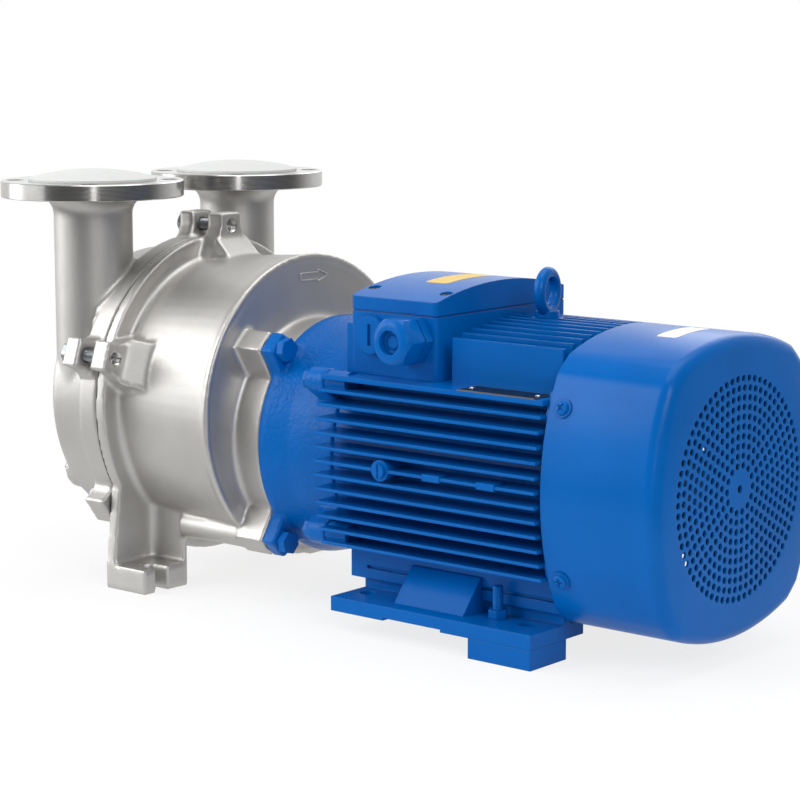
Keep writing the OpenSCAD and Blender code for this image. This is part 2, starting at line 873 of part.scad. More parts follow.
module drive_end_shield() {
    hub_end = de_bearing_u + de_bearing_w + 2;
    hub_out = de_bore_r + hub_wall;
    web_back = motor_flange_back + 11;
    tie_angle = atan2(tie_z, tie_y);
    tie_reach = norm([tie_y, tie_z]);
    color(blue) place() difference() {
        union() {
            along_x(0) rotate_extrude() polygon([
                [shaft_r + 3, boss_face - spigot_h], [pocket_r - fit, boss_face - spigot_h],
                [pocket_r - fit, boss_face], [boss_r, boss_face], [shield_crown_r, boss_face + 4],
                [shield_crown_r, boss_face + 9], [shield_r + 1.5, boss_face + 30],
                [shield_r, frame_front], [stator_r - fit, frame_front], [stator_r - fit, frame_front + 4],
                [stator_r - 8, frame_front + 4], [stator_r - 8, motor_flange_back + 35],
                [stator_r - 14, web_back], [hub_out, web_back], [hub_out, hub_end],
                [de_bore_r + fit, hub_end], [de_bore_r + fit, de_bearing_u],
                [lip_r + fit, de_bearing_u], [lip_r + fit, de_bearing_u - lip_t],
                [shaft_r + 3, de_bearing_u - lip_t]]);
            four_ears() ear(boss_face, motor_flange_t);
            for (sy = [0, 180], sz = [-1, 1]) rotate([sy + sz * tie_angle, 0, 0])
                along_x(frame_front - tie_boss_len) linear_extrude(tie_boss_len) {
                    translate([shield_r - 6, -tie_boss_r]) square([tie_reach - shield_r + 6, 2 * tie_boss_r]);
                    translate([tie_reach, 0]) circle(tie_boss_r);
                }
        }
        four_ears() translate([0, ear_r, 0]) rod(boss_face - 1, motor_flange_t + 2, ear_bolt_r + fit);
        tie_places() rod(frame_front - tie_boss_len - 1, tie_boss_len + 2, tie_r + fit);
    }
}

module flange_bolts() {
    color(blue) place() four_ears() translate([0, ear_r, 0]) along_x(motor_flange_back) mirror([0, 0, 1])
        hex_screw(ear_bolt_r, motor_flange_t + ear_bolt_len - 2, 16, 7);
}

module tie_bolts() {
    color(blue) place() tie_places() along_x(frame_front - tie_boss_len)
        hex_screw(tie_r, tie_boss_len + frame_boss_len - 2, 13, 5);
}

module shaft_seal() {
    color(black) place() tube(de_bearing_u - lip_t, lip_t, lip_r, shaft_r + fit);
}

// Pitch radius and ball radius of a bearing between two radii
function pitch_r(outer) = (outer + bearing_r) / 2;
function ball_r(outer) = 0.29 * (outer - bearing_r);

// One race, a ring with a groove that holds the balls clear by ball_gap
module race(u, w, r_out, r_in, outer) {
    along_x(u) rotate_extrude() difference() {
        translate([r_in, 0]) square([r_out - r_in, w]);
        translate([pitch_r(outer), w / 2]) circle(ball_r(outer) + ball_gap);
    }
}

module balls(u, w, outer) {
    color(machined) place() translate([u + w / 2, 0, 0])
        for (i = [0 : ball_count - 1]) rotate([360 * i / ball_count, 0, 0])
            translate([0, pitch_r(outer), 0]) sphere(ball_r(outer));
}

module drive_bearing_inner() {
    color(machined) place() race(de_bearing_u, de_bearing_w, pitch_r(de_bore_r) - ball_r(de_bore_r) / 2,
        bearing_r, de_bore_r);
}

module drive_bearing_outer() {
    color(machined) place() race(de_bearing_u, de_bearing_w, de_bore_r,
        pitch_r(de_bore_r) + ball_r(de_bore_r) / 2, de_bore_r);
}

module drive_bearing_balls() {
    balls(de_bearing_u, de_bearing_w, de_bore_r);
}

module rear_bearing_inner() {
    color(machined) place() race(nde_bearing_u, nde_bearing_w, pitch_r(nde_bore_r) - ball_r(nde_bore_r) / 2,
        bearing_r, nde_bore_r);
}

module rear_bearing_outer() {
    color(machined) place() race(nde_bearing_u, nde_bearing_w, nde_bore_r,
        pitch_r(nde_bore_r) + ball_r(nde_bore_r) / 2, nde_bore_r);
}

module rear_bearing_balls() {
    balls(nde_bearing_u, nde_bearing_w, nde_bore_r);
}

// Half width over the side fins at height z, and height of the top fins at y: gentle arcs
function fin_reach(z) = fin_half_w - fin_side_r + sqrt(pow(fin_side_r, 2) - pow(z, 2));
function fin_rise(y) = fin_half_h - fin_top_r + sqrt(pow(fin_top_r, 2) - pow(y, 2));

// A tapered fin along +X from the axis, its tip at the given reach
module fin(reach, tip = fin_t) {
    polygon([[0, -fin_root_t / 2], [reach, -tip / 2], [reach, tip / 2], [0, fin_root_t / 2]]);
}

module frame_section() {
    circle(barrel_r);
    for (s = [0, 1]) mirror([s, 0]) {
        translate([0, ledge_top - fin_root_t]) square([fin_reach(ledge_h), fin_root_t]);
        for (i = [1 : side_fins - 1]) let (z = ledge_h - i * fin_pitch) translate([0, z]) fin(fin_reach(z));
    }
    for (j = [-top_pairs : top_pairs]) let (y = j * top_group / top_pairs)
        translate([y, 0]) rotate(90) fin(fin_rise(y), abs(j) == top_pairs ? fin_root_t : fin_t);
}

module low_fins() {
    for (j = [-low_pairs : low_pairs]) let (y = j * top_group / top_pairs)
        translate([y, 0]) rotate(-90) fin(fin_rise(y) - low_fin_short);
}

module motor_frame() {
    color(blue) place() difference() {
        union() {
            difference() {
                along_x(frame_front) linear_extrude(frame_len) frame_section();
                difference() {
                    translate([frame_front - 1, -top_group - 6, ledge_top])
                        cube([top_fins_u - frame_front + 1, 2 * top_group + 12, fin_half_h]);
                    rod(frame_front - 2, frame_len, barrel_r);
                }
            }
            along_x(low_fin_u) linear_extrude(frame_rear - low_fin_u) low_fins();
            both_sides() translate([skirt_u, skirt_in, skirt_bottom])
                cube([frame_rear - skirt_u, skirt_y - skirt_in, skirt_top - skirt_bottom]);
            tie_places() rod(frame_front, frame_boss_len, tie_boss_r - 1);
            translate([eye_u, 0, barrel_r - 4]) cylinder(h = eye_seat - barrel_r + 4, r = eye_foot_r + 3);
            translate([earth_u, -stator_r, earth_z]) rotate([90, 0, 0])
                cylinder(h = fin_half_w - stator_r, r = earth_boss_r);
            for (u = pad_us) translate([u - pad_l / 2, -fin_half_w - pad_proud, earth_z - pad_h / 2])
                cube([pad_l, pad_depth, pad_h]);
        }
        rod(frame_front - 1, frame_len + 2, stator_r);
        both_sides() translate([groove_u, skirt_y - groove_d, skirt_bottom + riser_h])
            cube([frame_len, groove_d + 1, groove_h]);
        tie_places() rod(frame_front - 1, frame_boss_len + 1, tie_r + fit);
        translate([eye_u, 0, eye_seat - eye_shank]) cylinder(h = eye_shank + 1, r = eye_thread_r + fit);
        translate([earth_u, -fin_half_w - 1, earth_z]) rotate([-90, 0, 0])
            cylinder(h = earth_len + 1, r = earth_r + fit);
    }
}

module stator_core() {
    color(steel) place() tube(stack_u, stack_len, stator_r - fit, stator_bore_r);
}

// Overhangs of the winding at both ends of the stack
module stator_windings() {
    color(copper) place() for (u = [stack_u - winding_len, stack_u + stack_len]) along_x(u)
        rotate_extrude() polygon([
            [stator_bore_r + 6, 0], [stator_r - 12, 0], [stator_r - 7, 5],
            [stator_r - 7, winding_len - 5], [stator_r - 12, winding_len], [stator_bore_r + 6, winding_len]]);
}

module rotor_core() {
    ring = rotor_over - 2;
    color(steel) place() {
        tube(stack_u, stack_len, rotor_r, rotor_seat_r);
        for (u = [stack_u - ring, stack_u + stack_len]) tube(u, ring, rotor_r - 3, rotor_r - end_ring_w);
    }
}

module rear_end_shield() {
    hub_out = nde_bore_r + hub_wall;
    hub_back = nde_bearing_u + nde_bearing_w + 2;
    color(blue) place() difference() {
        union() {
            along_x(0) rotate_extrude() polygon([
                [nde_bore_r + fit, nde_bearing_u - 2], [hub_out, nde_bearing_u - 2], [hub_out, frame_rear],
                [stator_r - 8, frame_rear], [stator_r - 8, frame_rear - 4], [stator_r - fit, frame_rear - 4],
                [stator_r - fit, frame_rear], [barrel_r, frame_rear], [barrel_r, frame_rear + rear_face_t],
                [hub_out + 4, frame_rear + rear_face_t], [hub_out, hub_back + 4],
                [fan_seat_r + 1, hub_back + 4], [fan_seat_r + 1, hub_back], [nde_bore_r + fit, hub_back]]);
            intersection() {
                both_sides() for (s = [-1, 1])
                    translate([frame_rear, barrel_r - 20, s * cowl_screw_z - cowl_pad / 2])
                        cube([cowl_screw_u + cowl_pad / 2 - frame_rear, cowl_half_w, cowl_pad]);
                difference() {
                    cowl_form(cowl_t + fit, frame_rear, cowl_face);
                    rod(frame_rear + rear_face_t, cowl_len, fan_r + 4);
                }
            }
        }
        cowl_screw_places() cylinder(h = 2 * cowl_screw_len, r = cowl_screw_r + fit, center = true);
    }
}

module cooling_fan() {
    color(black) place() difference() {
        union() {
            rod(fan_u, fan_len, fan_seat_r + 8);
            rod(fan_u, 3, fan_r * 0.7);
            for (i = [0 : fan_blades - 1]) rotate([360 * i / fan_blades, 0, 0])
                translate([fan_u, fan_seat_r + 4, -1.5]) cube([fan_len - 6, fan_r - fan_seat_r - 4, 3]);
        }
        rod(fan_u - 1, fan_len + 2, fan_seat_r + fit);
    }
}

module fan_circlip() {
    color(steel) place() difference() {
        tube(clip_u, clip_t, fan_seat_r + 3, fan_seat_r - 1);
        translate([clip_u - 1, -3, 0]) cube([clip_t + 2, 6, fan_seat_r + 4]);
    }
}

// A disc of radius r whose front edge is rounded, from station u0 to u1
module rounded_disc(r, bend, u0, u1) {
    along_x(u0) rotate_extrude() polygon(concat(
        [[0, 0], [r, 0]], arc(r - bend, u1 - u0 - bend, bend, 0, 90, 6), [[0, u1 - u0]]));
}

// The cowl's outer form less an inset: bulged sides, top and bottom, and rounded corners
module cowl_form(inset, u0, u1) {
    bend = cowl_bend - inset;
    end = u1 - inset;
    intersection() {
        rounded_disc(cowl_corner_r - inset, bend, u0, end);
        for_pair() translate([0, cowl_half_w - cowl_side_r, 0])
            rounded_disc(cowl_side_r - inset, bend, u0, end);
        for_stack() translate([0, 0, cowl_half_h - cowl_top_r])
            rounded_disc(cowl_top_r - inset, bend, u0, end);
    }
}

// What a piece and its mirror image across the shaft plane share
module for_pair() {
    intersection() {
        children();
        mirror([0, 1, 0]) children();
    }
}

// What a piece and its mirror image across the horizontal plane share
module for_stack() {
    intersection() {
        children();
        mirror([0, 0, 1]) children();
    }
}

// Rings of holes about the shaft axis, each ring as full as its length allows
module grille_holes() {
    step = (grille_r - grille_hub_r) / (grille_rings - 1);
    circle(3);
    for (k = [0 : grille_rings - 1]) let (r = grille_hub_r + k * step, n = floor(2 * PI * r / grille_spacing))
        for (i = [0 : n - 1]) rotate(360 * (i + k / 2) / n) translate([r, 0]) circle(d = grille_hole_d);
}

module fan_cowl() {
    plate_r = grille_r + grille_hole_d / 2 + 2;
    color(blue) place() difference() {
        union() {
            difference() {
                cowl_form(0, cowl_front_u, cowl_face);
                cowl_form(cowl_t, cowl_front_u - 1, cowl_face);
                rod(cowl_face - cowl_t - 1, cowl_t + 2, plate_r);
            }
            along_x(cowl_face - cowl_t) linear_extrude(cowl_t) difference() {
                circle(plate_r);
                grille_holes();
            }
        }
        cowl_screw_places() cylinder(h = 2 * cowl_screw_len, r = cowl_screw_r + fit, center = true);
    }
}

// The four screws of the cowl, each square to the bulged side, with Z pointing out of the cowl
module cowl_screw_places() {
    lean = asin(cowl_screw_z / cowl_side_r);
    both_sides() for (s = [-1, 1]) translate([cowl_screw_u, cowl_half_w - cowl_side_r, 0])
        rotate([s * lean, 0, 0]) translate([0, cowl_side_r, 0]) rotate([-90, 0, 0]) children();
}

module cowl_screws() {
    color(steel) place() cowl_screw_places() {
        translate([0, 0, fit - cowl_screw_len]) cylinder(h = cowl_screw_len, r = cowl_screw_r);
        translate([0, 0, fit]) cylinder(h = 1.2, r = 7);
        translate([0, 0, fit + 1]) cylinder(h = 3, r = 5);
    }
}

// A rectangle with rounded corners, centred
module rounded_box(l, w, r) {
    square([l - 2 * r, w], center = true);
    square([l, w - 2 * r], center = true);
    for (sx = [-1, 1], sy = [-1, 1]) translate([sx * (l / 2 - r), sy * (w / 2 - r)]) circle(r);
}

// Copies a piece to the four lid screws
module lid_screw_places() {
    for (sx = [-1, 1], sy = [-1, 1])
        translate([box_mid + sx * (box_l / 2 - lid_screw_in), sy * lid_screw_y, 0]) children();
}

module terminal_box_base() {
    color(blue) place() difference() {
        union() {
            difference() {
                translate([box_mid, 0, ledge_top]) linear_extrude(box_seam - ledge_top)
                    rounded_box(box_l, 2 * box_half_w, box_corner);
                translate([box_mid, 0, ledge_top + 6]) linear_extrude(box_seam)
                    rounded_box(box_l - 2 * box_wall, 2 * (box_half_w - box_wall), box_corner - 1);
            }
            lid_screw_places() translate([0, 0, ledge_top + 4])
                cylinder(h = box_seam - ledge_top - 4, r = lid_post_r);
            translate([box_u - box_step, 2 - box_half_w, ledge_top])
                cube([box_step + 2, 2 * box_half_w - 4, box_seam - box_step_down - ledge_top]);
        }
        rod(box_u - box_step - 1, box_l + box_step + 2, barrel_r + fit);
        lid_screw_places() translate([0, 0, box_seam - lid_screw_depth])
            cylinder(h = lid_screw_depth + 1, r = lid_screw_r + fit);
        entry_places() translate([0, 0, -box_wall - 1]) cylinder(h = box_wall + 2, r = entry_r + fit);
    }
}

// Copies a piece to one or both cable entries, with Z pointing out of the box
module entry_at(s) {
    translate([box_mid + s * entry_offset, -box_half_w, entry_h]) rotate([90, 0, 0]) children();
}

module entry_places() {
    for (s = [-1, 1]) entry_at(s) children();
}

module terminal_box_gasket() {
    color(black) place() difference() {
        translate([box_mid, 0, box_seam]) linear_extrude(seam_gasket) difference() {
            rounded_box(box_l - 1, 2 * box_half_w - 1, box_corner);
            rounded_box(box_l - 2 * box_wall, 2 * (box_half_w - box_wall), box_corner - 1);
        }
        lid_screw_places() translate([0, 0, box_seam - 1])
            cylinder(h = seam_gasket + 2, r = lid_screw_r + fit);
    }
}

module terminal_box_lid() {
    crown = lid_bottom + lid_edge + lid_arch;
    color(blue) place() difference() {
        union() {
            difference() {
                lid_form(lid_bottom, crown, 0);
                lid_form(lid_bottom - 1, crown - box_wall, box_wall);
            }
            intersection() {
                lid_screw_places() translate([0, 0, lid_bottom])
                    cylinder(h = lid_edge + lid_arch, r = lid_post_r);
                lid_form(lid_bottom, crown, 0);
            }
        }
        lid_screw_places() {
            translate([0, 0, lid_bottom - 1]) cylinder(h = crown, r = lid_screw_r + fit);
            translate([0, 0, lid_seat]) cylinder(h = crown, r = lid_head_r + 0.5);
        }
    }
}

// The lid's arched block from height z0 up to a crown, less an inset of its outline
module lid_form(z0, crown, inset) {
    intersection() {
        translate([box_mid, 0, z0]) linear_extrude(crown - z0)
            rounded_box(box_l - 2 * inset, 2 * (box_half_w - inset), box_corner - inset / 5);
        translate([0, 0, crown - lid_r]) rod(box_u - 1, box_l + 2, lid_r);
    }
}

module lid_screws() {
    color(steel) place() lid_screw_places() {
        translate([0, 0, box_seam - lid_screw_depth + 1])
            cylinder(h = lid_seat - box_seam + lid_screw_depth - 1, r = lid_screw_r);
        translate([0, 0, lid_seat]) cylinder(h = lid_head_h, r = lid_head_r);
    }
}

module terminal_block() {
    color(black) place() difference() {
        translate([box_mid - block_l / 2, -block_w / 2, barrel_r - 8])
            cube([block_l, block_w, block_top - barrel_r + 8]);
        rod(box_u, box_l, barrel_r + fit);
        stud_places() translate([0, 0, block_top - 6]) cylinder(h = 7, r = stud_r + fit);
    }
}

// Two rows of three terminals
module stud_places() {
    for (i = [-1 : 1], j = [-1, 1]) translate([box_mid + j * block_l / 4, i * block_w / 3.2, 0]) children();
}

module terminal_studs() {
    color(brass) place() stud_places() {
        translate([0, 0, block_top - 6]) cylinder(h = 15, r = stud_r);
        translate([0, 0, block_top]) cylinder(h = 4, r = stud_r * 2, $fn = 6);
    }
}

module gland_body() {
    color(blue) place() entry_at(1) difference() {
        union() {
            cylinder(h = gland_hex, r = gland_af / sqrt(3), $fn = 6);
            translate([0, 0, -box_wall - 4]) cylinder(h = box_wall + 5, r = entry_r);
            cylinder(h = gland_hex + 10, r = entry_r - 0.5);
        }
        translate([0, 0, -box_wall - 5]) cylinder(h = 60, r = gland_bore_r);
    }
}

// Cap nut of the gland: a hex whose front is turned to a dome round the opening
module gland_nut() {
    color(blue) place() entry_at(1) translate([0, 0, gland_hex + 1]) difference() {
        intersection() {
            cylinder(h = gland_cap, r = gland_af / sqrt(3), $fn = 6);
            rotate_extrude() polygon(concat(
                [[0, 0], [gland_af * 0.55, 0], [gland_af * 0.57, 2]],
                arc(gland_af * 0.57 - gland_dome, gland_cap - gland_dome, gland_dome, 0, 80),
                [[0, gland_cap]]));
        }
        translate([0, 0, -1]) cylinder(h = 11, r = entry_r - 0.5 + fit);
        cylinder(h = gland_cap + 1, r = gland_bore_r + fit);
    }
}

// Blind rubber that closes the gland
module gland_seal() {
    color(blue) place() entry_at(1) difference() {
        cylinder(h = gland_hex + gland_cap - 4, r = gland_bore_r);
        translate([0, 0, gland_hex + gland_cap - 5]) difference() {
            cylinder(h = 3, r = gland_bore_r - 2);
            translate([0, 0, -1]) cylinder(h = 5, r = gland_bore_r - 4);
        }
    }
}

module blanking_plug() {
    color(blue) place() entry_at(-1) difference() {
        union() {
            cylinder(h = 4, r = plug_disc_r);
            translate([0, 0, -box_wall - 4]) cylinder(h = box_wall + 5, r = entry_r);
        }
        translate([-1.5, -8, 2]) cube([3, 16, 4]);
    }
}

module eye_bolt() {
    color(blue) place() translate([eye_u, 0, eye_seat]) {
        translate([0, 0, -eye_shank + 1]) cylinder(h = eye_shank, r = eye_thread_r);
        cylinder(h = 5, r = eye_foot_r);
        translate([0, 0, eye_ring_r + eye_tube_r + 0.7]) rotate([90, 0, 90 + eye_turn]) rotate_extrude()
            translate([eye_ring_r, 0]) circle(eye_tube_r);
    }
}

// Foot of the motor on the +Y side: plate, riser under the skirt and a sloping gusset
module motor_foot() {
    plate_z = plate_top - plate_t;
    difference() {
        union() {
            translate([plate_u, plate_in, plate_z]) cube([plate_l, plate_out - plate_in, plate_t]);
            translate([plate_u, skirt_in, plate_top - 1])
                cube([plate_l, riser_out - skirt_in, skirt_bottom - plate_top + 1]);
            along_x(gusset_u) linear_extrude(gusset_l) polygon([
                [riser_out - 1, plate_top - 1], [gusset_out, plate_top - 1], [gusset_out, plate_top],
                [skirt_y + 2, gusset_top], [skirt_y + fit, gusset_top],
                [skirt_y + fit, skirt_bottom - fit], [riser_out - 1, skirt_bottom - fit]]);
        }
        translate([gusset_u, plate_in - 1, plate_z - 1]) cube([relief_l, plate_out, 3]);
        for (u = [hole_u1, hole_u2]) translate([u, foot_gauge / 2, plate_z - 1])
            cylinder(h = plate_t + 2, d = foot_hole_d);
        translate([spacer_stud_u, spacer_stud_y, plate_z - 1])
            cylinder(h = plate_t + 2, r = spacer_stud_r + fit);
    }
}

module discharge_side_foot() {
    color(blue) place() motor_foot();
}

module suction_side_foot() {
    color(blue) place() mirror([0, 1, 0]) motor_foot();
}

// Block on the +Y side between the floor and the rear of the foot plate
module foot_spacer() {
    difference() {
        translate([spacer_u, plate_out - spacer_w, floor_z]) cube([spacer_l, spacer_w, spacer_t]);
        translate([hole_u2, foot_gauge / 2, floor_z - 1]) cylinder(h = spacer_t + 2, d = foot_hole_d);
        translate([spacer_stud_u, spacer_stud_y, floor_z + spacer_t - spacer_stud_in])
            cylinder(h = spacer_stud_in + 1, r = spacer_stud_r + fit);
    }
}

module discharge_side_spacer() {
    color(blue) place() foot_spacer();
}

module suction_side_spacer() {
    color(blue) place() mirror([0, 1, 0]) foot_spacer();
}

module spacer_studs() {
    color(blue) place() both_sides()
        translate([spacer_stud_u, spacer_stud_y, floor_z + spacer_t - spacer_stud_in])
            cylinder(h = spacer_stud_in + plate_t + spacer_stud_up, r = spacer_stud_r);
}

module spacer_nuts() {
    color(blue) place() both_sides() translate([spacer_stud_u, spacer_stud_y, plate_top]) difference() {
        cylinder(h = spacer_nut_h, r = 13 / sqrt(3), $fn = 6);
        translate([0, 0, -1]) cylinder(h = spacer_nut_h + 2, r = spacer_stud_r + fit);
    }
}

module nameplate() {
    color(machined) place() difference() {
        translate([name_u, -top_group - 2 - name_w, ledge_top]) cube([name_l, name_w, name_t]);
        rivet_places() translate([0, 0, ledge_top - 1]) cylinder(h = 4, r = rivet_r + fit);
    }
}

module rivet_places() {
    for (u = [name_u + 5, name_u + name_l - 5])
        translate([u, -top_group - 2 - name_w / 2, 0]) children();
}

module nameplate_rivets() {
    color(steel) place() rivet_places() translate([0, 0, ledge_top]) {
        cylinder(h = name_t, r = rivet_r);
        translate([0, 0, name_t]) intersection() {
            cylinder(h = 2, r = rivet_r * 2);
            translate([0, 0, -rivet_r * 2]) sphere(rivet_r * 3);
        }
    }
}

module earth_screw() {
    color(blue) place() translate([earth_u, -fin_half_w, earth_z]) rotate([90, 0, 0]) {
        translate([0, 0, -earth_len]) cylinder(h = earth_len + 1, r = earth_r);
        difference() {
            cylinder(h = 2.5, r = earth_r * 1.8);
            translate([-0.6, -earth_r * 2, 1.2]) cube([1.2, earth_r * 4, 2]);
        }
    }
}

port_cover();
cover_gasket();
control_disc();
valve_flap();
valve_stop();
pump_casing();
casing_bolts();
feed_plug();
drain_plug();
suction_cap();
discharge_cap();
impeller();
impeller_key();
impeller_nut();
seal_head();
seal_seat();
motor_shaft();
drive_end_shield();
flange_bolts();
tie_bolts();
shaft_seal();
drive_bearing_inner();
drive_bearing_outer();
drive_bearing_balls();
rear_bearing_inner();
rear_bearing_outer();
rear_bearing_balls();
motor_frame();
stator_core();
stator_windings();
rotor_core();
rear_end_shield();
cooling_fan();
fan_circlip();
fan_cowl();
cowl_screws();
terminal_box_base();
terminal_box_gasket();
terminal_box_lid();
lid_screws();
terminal_block();
terminal_studs();
gland_body();
gland_nut();
gland_seal();
blanking_plug();
eye_bolt();
suction_side_foot();
discharge_side_foot();
suction_side_spacer();
discharge_side_spacer();
spacer_studs();
spacer_nuts();
nameplate();
nameplate_rivets();
earth_screw();
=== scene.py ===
"""Looks of a close-coupled liquid ring vacuum pump, in metres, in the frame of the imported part.

X runs along the shaft from the ports to the fan, Y to the discharge side, Z up from the floor.
"""

import math

import bpy
import numpy as np
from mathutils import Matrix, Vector


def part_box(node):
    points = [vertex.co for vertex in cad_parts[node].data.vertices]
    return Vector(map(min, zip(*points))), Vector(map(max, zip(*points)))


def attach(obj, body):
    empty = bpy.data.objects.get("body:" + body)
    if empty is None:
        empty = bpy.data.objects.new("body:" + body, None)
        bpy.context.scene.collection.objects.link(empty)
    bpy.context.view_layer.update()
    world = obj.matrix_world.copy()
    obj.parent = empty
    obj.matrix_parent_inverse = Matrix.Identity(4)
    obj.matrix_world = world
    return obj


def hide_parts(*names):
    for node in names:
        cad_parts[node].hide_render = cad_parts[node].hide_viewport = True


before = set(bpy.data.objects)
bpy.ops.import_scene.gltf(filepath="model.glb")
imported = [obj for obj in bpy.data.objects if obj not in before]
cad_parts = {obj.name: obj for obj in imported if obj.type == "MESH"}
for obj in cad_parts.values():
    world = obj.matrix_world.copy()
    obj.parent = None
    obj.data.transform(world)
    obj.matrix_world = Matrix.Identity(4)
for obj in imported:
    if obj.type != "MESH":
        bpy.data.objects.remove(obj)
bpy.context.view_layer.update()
scene = bpy.context.scene
scene.view_settings.view_transform = "Standard"


# Studio: a long lens a little above the part, a round white table top in front of a white wall,
# and large soft boxes. The room on the camera's side is dim, as it is behind a photographer, so
# paint keeps its depth, and the wall shows in what faces up or away.
def linear(code):
    """sRGB hex such as "#0a5cb4" to linear red, green, blue and alpha."""
    parts = np.array([int(code[i : i + 2], 16) for i in (1, 3, 5)]) / 255.0
    low, high = parts / 12.92, ((parts + 0.055) / 1.055) ** 2.4
    return (*np.where(parts <= 0.04045, low, high), 1.0)


def put(tree, kind, values, links=None):
    """Adds a node: values go to its settings or inputs by name, and links join outputs to its inputs."""
    made = tree.nodes.new("ShaderNode" + kind)
    for name, value in values.items():
        if isinstance(name, str) and hasattr(made, name):
            setattr(made, name, value)
        else:
            made.inputs[name].default_value = value
    for name, socket in (links or {}).items():
        tree.links.new(socket, made.inputs[name])
    return made


AZIMUTH, ELEVATION = math.radians(39.752), math.radians(8.876)
TARGET = Vector((0.008708, 0.0, 0.159602))
DISTANCE = 1.879519
FOCAL_MM = 107.72

camera = bpy.data.objects.new("camera", bpy.data.cameras.new("camera"))
scene.collection.objects.link(camera)
scene.camera = camera
across = Vector((math.sin(AZIMUTH), -math.cos(AZIMUTH), 0.0))
towards_eye = across * math.cos(ELEVATION) + Vector((0.0, 0.0, math.sin(ELEVATION)))
camera.location = TARGET + towards_eye * DISTANCE
camera.rotation_mode = "QUATERNION"
camera.rotation_quaternion = towards_eye.to_track_quat("Z", "Y")
camera.data.sensor_width = 36.0
camera.data.lens = FOCAL_MM
camera.data.clip_start, camera.data.clip_end = 0.05, 60.0

TABLE_R, TABLE_CORNERS = 0.75, 96
turn = np.linspace(0.0, 2.0 * np.pi, TABLE_CORNERS, endpoint=False)
table_rim = np.stack([TABLE_R * np.cos(turn), TABLE_R * np.sin(turn), 0.0 * turn], -1)
table_mesh = bpy.data.meshes.new("table_top")
table_mesh.from_pydata(table_rim.tolist(), [], [list(range(TABLE_CORNERS))])
table = bpy.data.objects.new("table_top", table_mesh)
scene.collection.objects.link(table)

# Matt laminate: to the eye it glows until it melts into the white wall, less so near the part,
# where it keeps the shadow. In mirrors it glows less, so that undersides stay darker than tops.
SHADOW_R, MELTED_R = 0.25, 0.72
GLOW_NEAR, GLOW_FAR, GLOW_IN_MIRRORS = 0.8, 1.0, 0.75
white_top = bpy.data.materials.new("matt_white_laminate")
white_top.use_nodes = True
tree = white_top.node_tree
matt = tree.nodes["Principled BSDF"]
matt.inputs["Base Color"].default_value = linear("#f4f4f4")
matt.inputs["Roughness"].default_value = 0.9
matt.inputs["Specular IOR Level"].default_value = 0.0
rays = put(tree, "LightPath", {}).outputs
seen = put(tree, "Math", {"operation": "MAXIMUM"}, {0: rays["Is Camera Ray"], 1: rays["Is Glossy Ray"]})
seen = put(tree, "Math", {"operation": "MAXIMUM"}, {0: seen.outputs[0], 1: rays["Is Transmission Ray"]})
dimmed = put(tree, "MapRange", {"To Min": 1.0, "To Max": GLOW_IN_MIRRORS}, {"Value": rays["Is Glossy Ray"]})
where = put(tree, "TexCoord", {})
far = put(tree, "VectorMath", {"operation": "LENGTH"}, {0: where.outputs["Object"]})
melting = {"From Min": SHADOW_R, "From Max": MELTED_R, "To Min": GLOW_NEAR, "To Max": GLOW_FAR}
fade = put(tree, "MapRange", {"interpolation_type": "SMOOTHSTEP", **melting}, {"Value": far.outputs["Value"]})
share = put(tree, "Math", {"operation": "MULTIPLY"}, {0: seen.outputs[0], 1: fade.outputs[0]})
glow = put(tree, "Emission", {"Color": linear("#ffffff")}, {"Strength": dimmed.outputs[0]})
blend = put(tree, "MixShader", {}, {0: share.outputs[0], 1: matt.outputs[0], 2: glow.outputs[0]})
tree.links.new(blend.outputs[0], tree.nodes["Material Output"].inputs["Surface"])
table_mesh.materials.append(white_top)

# Room: plain white to the eye and an even light on matt surfaces. Mirrors see it grow from dark
# on the camera's side to white behind the part, and a little darker below the part than above it.
ROOM_LIGHT, DARK_SIDE, BELOW = 0.42, 0.12, 0.6
world = bpy.data.worlds.new("studio")
scene.world = world
world.use_nodes = True
tree = world.node_tree
rays = put(tree, "LightPath", {}).outputs
seen = put(tree, "Math", {"operation": "MAXIMUM"}, {0: rays["Is Camera Ray"], 1: rays["Is Transmission Ray"]})
way = put(tree, "TexCoord", {}).outputs["Generated"]
behind = put(tree, "VectorMath", {"operation": "DOT_PRODUCT", 1: -across}, {0: way})
growing = {"From Min": -0.2, "From Max": 0.8, "To Min": DARK_SIDE, "To Max": 1.0}
wall = put(tree, "MapRange", {"interpolation_type": "SMOOTHSTEP", **growing}, {"Value": behind.outputs["Value"]})
height = put(tree, "SeparateXYZ", {}, {0: way})
rising = {"From Min": -0.2, "From Max": 0.05, "To Min": BELOW, "To Max": 1.0}
above = put(tree, "MapRange", {"interpolation_type": "SMOOTHSTEP", **rising}, {"Value": height.outputs["Z"]})
strength = put(tree, "Math", {"operation": "MULTIPLY"}, {0: wall.outputs[0], 1: above.outputs[0]})
room = put(tree, "Background", {"Color": linear("#f2f4f6"), "Strength": ROOM_LIGHT})
mirror = put(tree, "Background", {"Color": linear("#ffffff")}, {"Strength": strength.outputs[0]})
plain = put(tree, "Background", {"Color": linear("#ffffff"), "Strength": 1.0})
blend = put(tree, "MixShader", {}, {0: rays["Is Glossy Ray"], 1: room.outputs[0], 2: mirror.outputs[0]})
blend = put(tree, "MixShader", {}, {0: seen.outputs[0], 1: blend.outputs[0], 2: plain.outputs[0]})
tree.links.new(blend.outputs[0], tree.nodes["World Output"].inputs["Surface"])

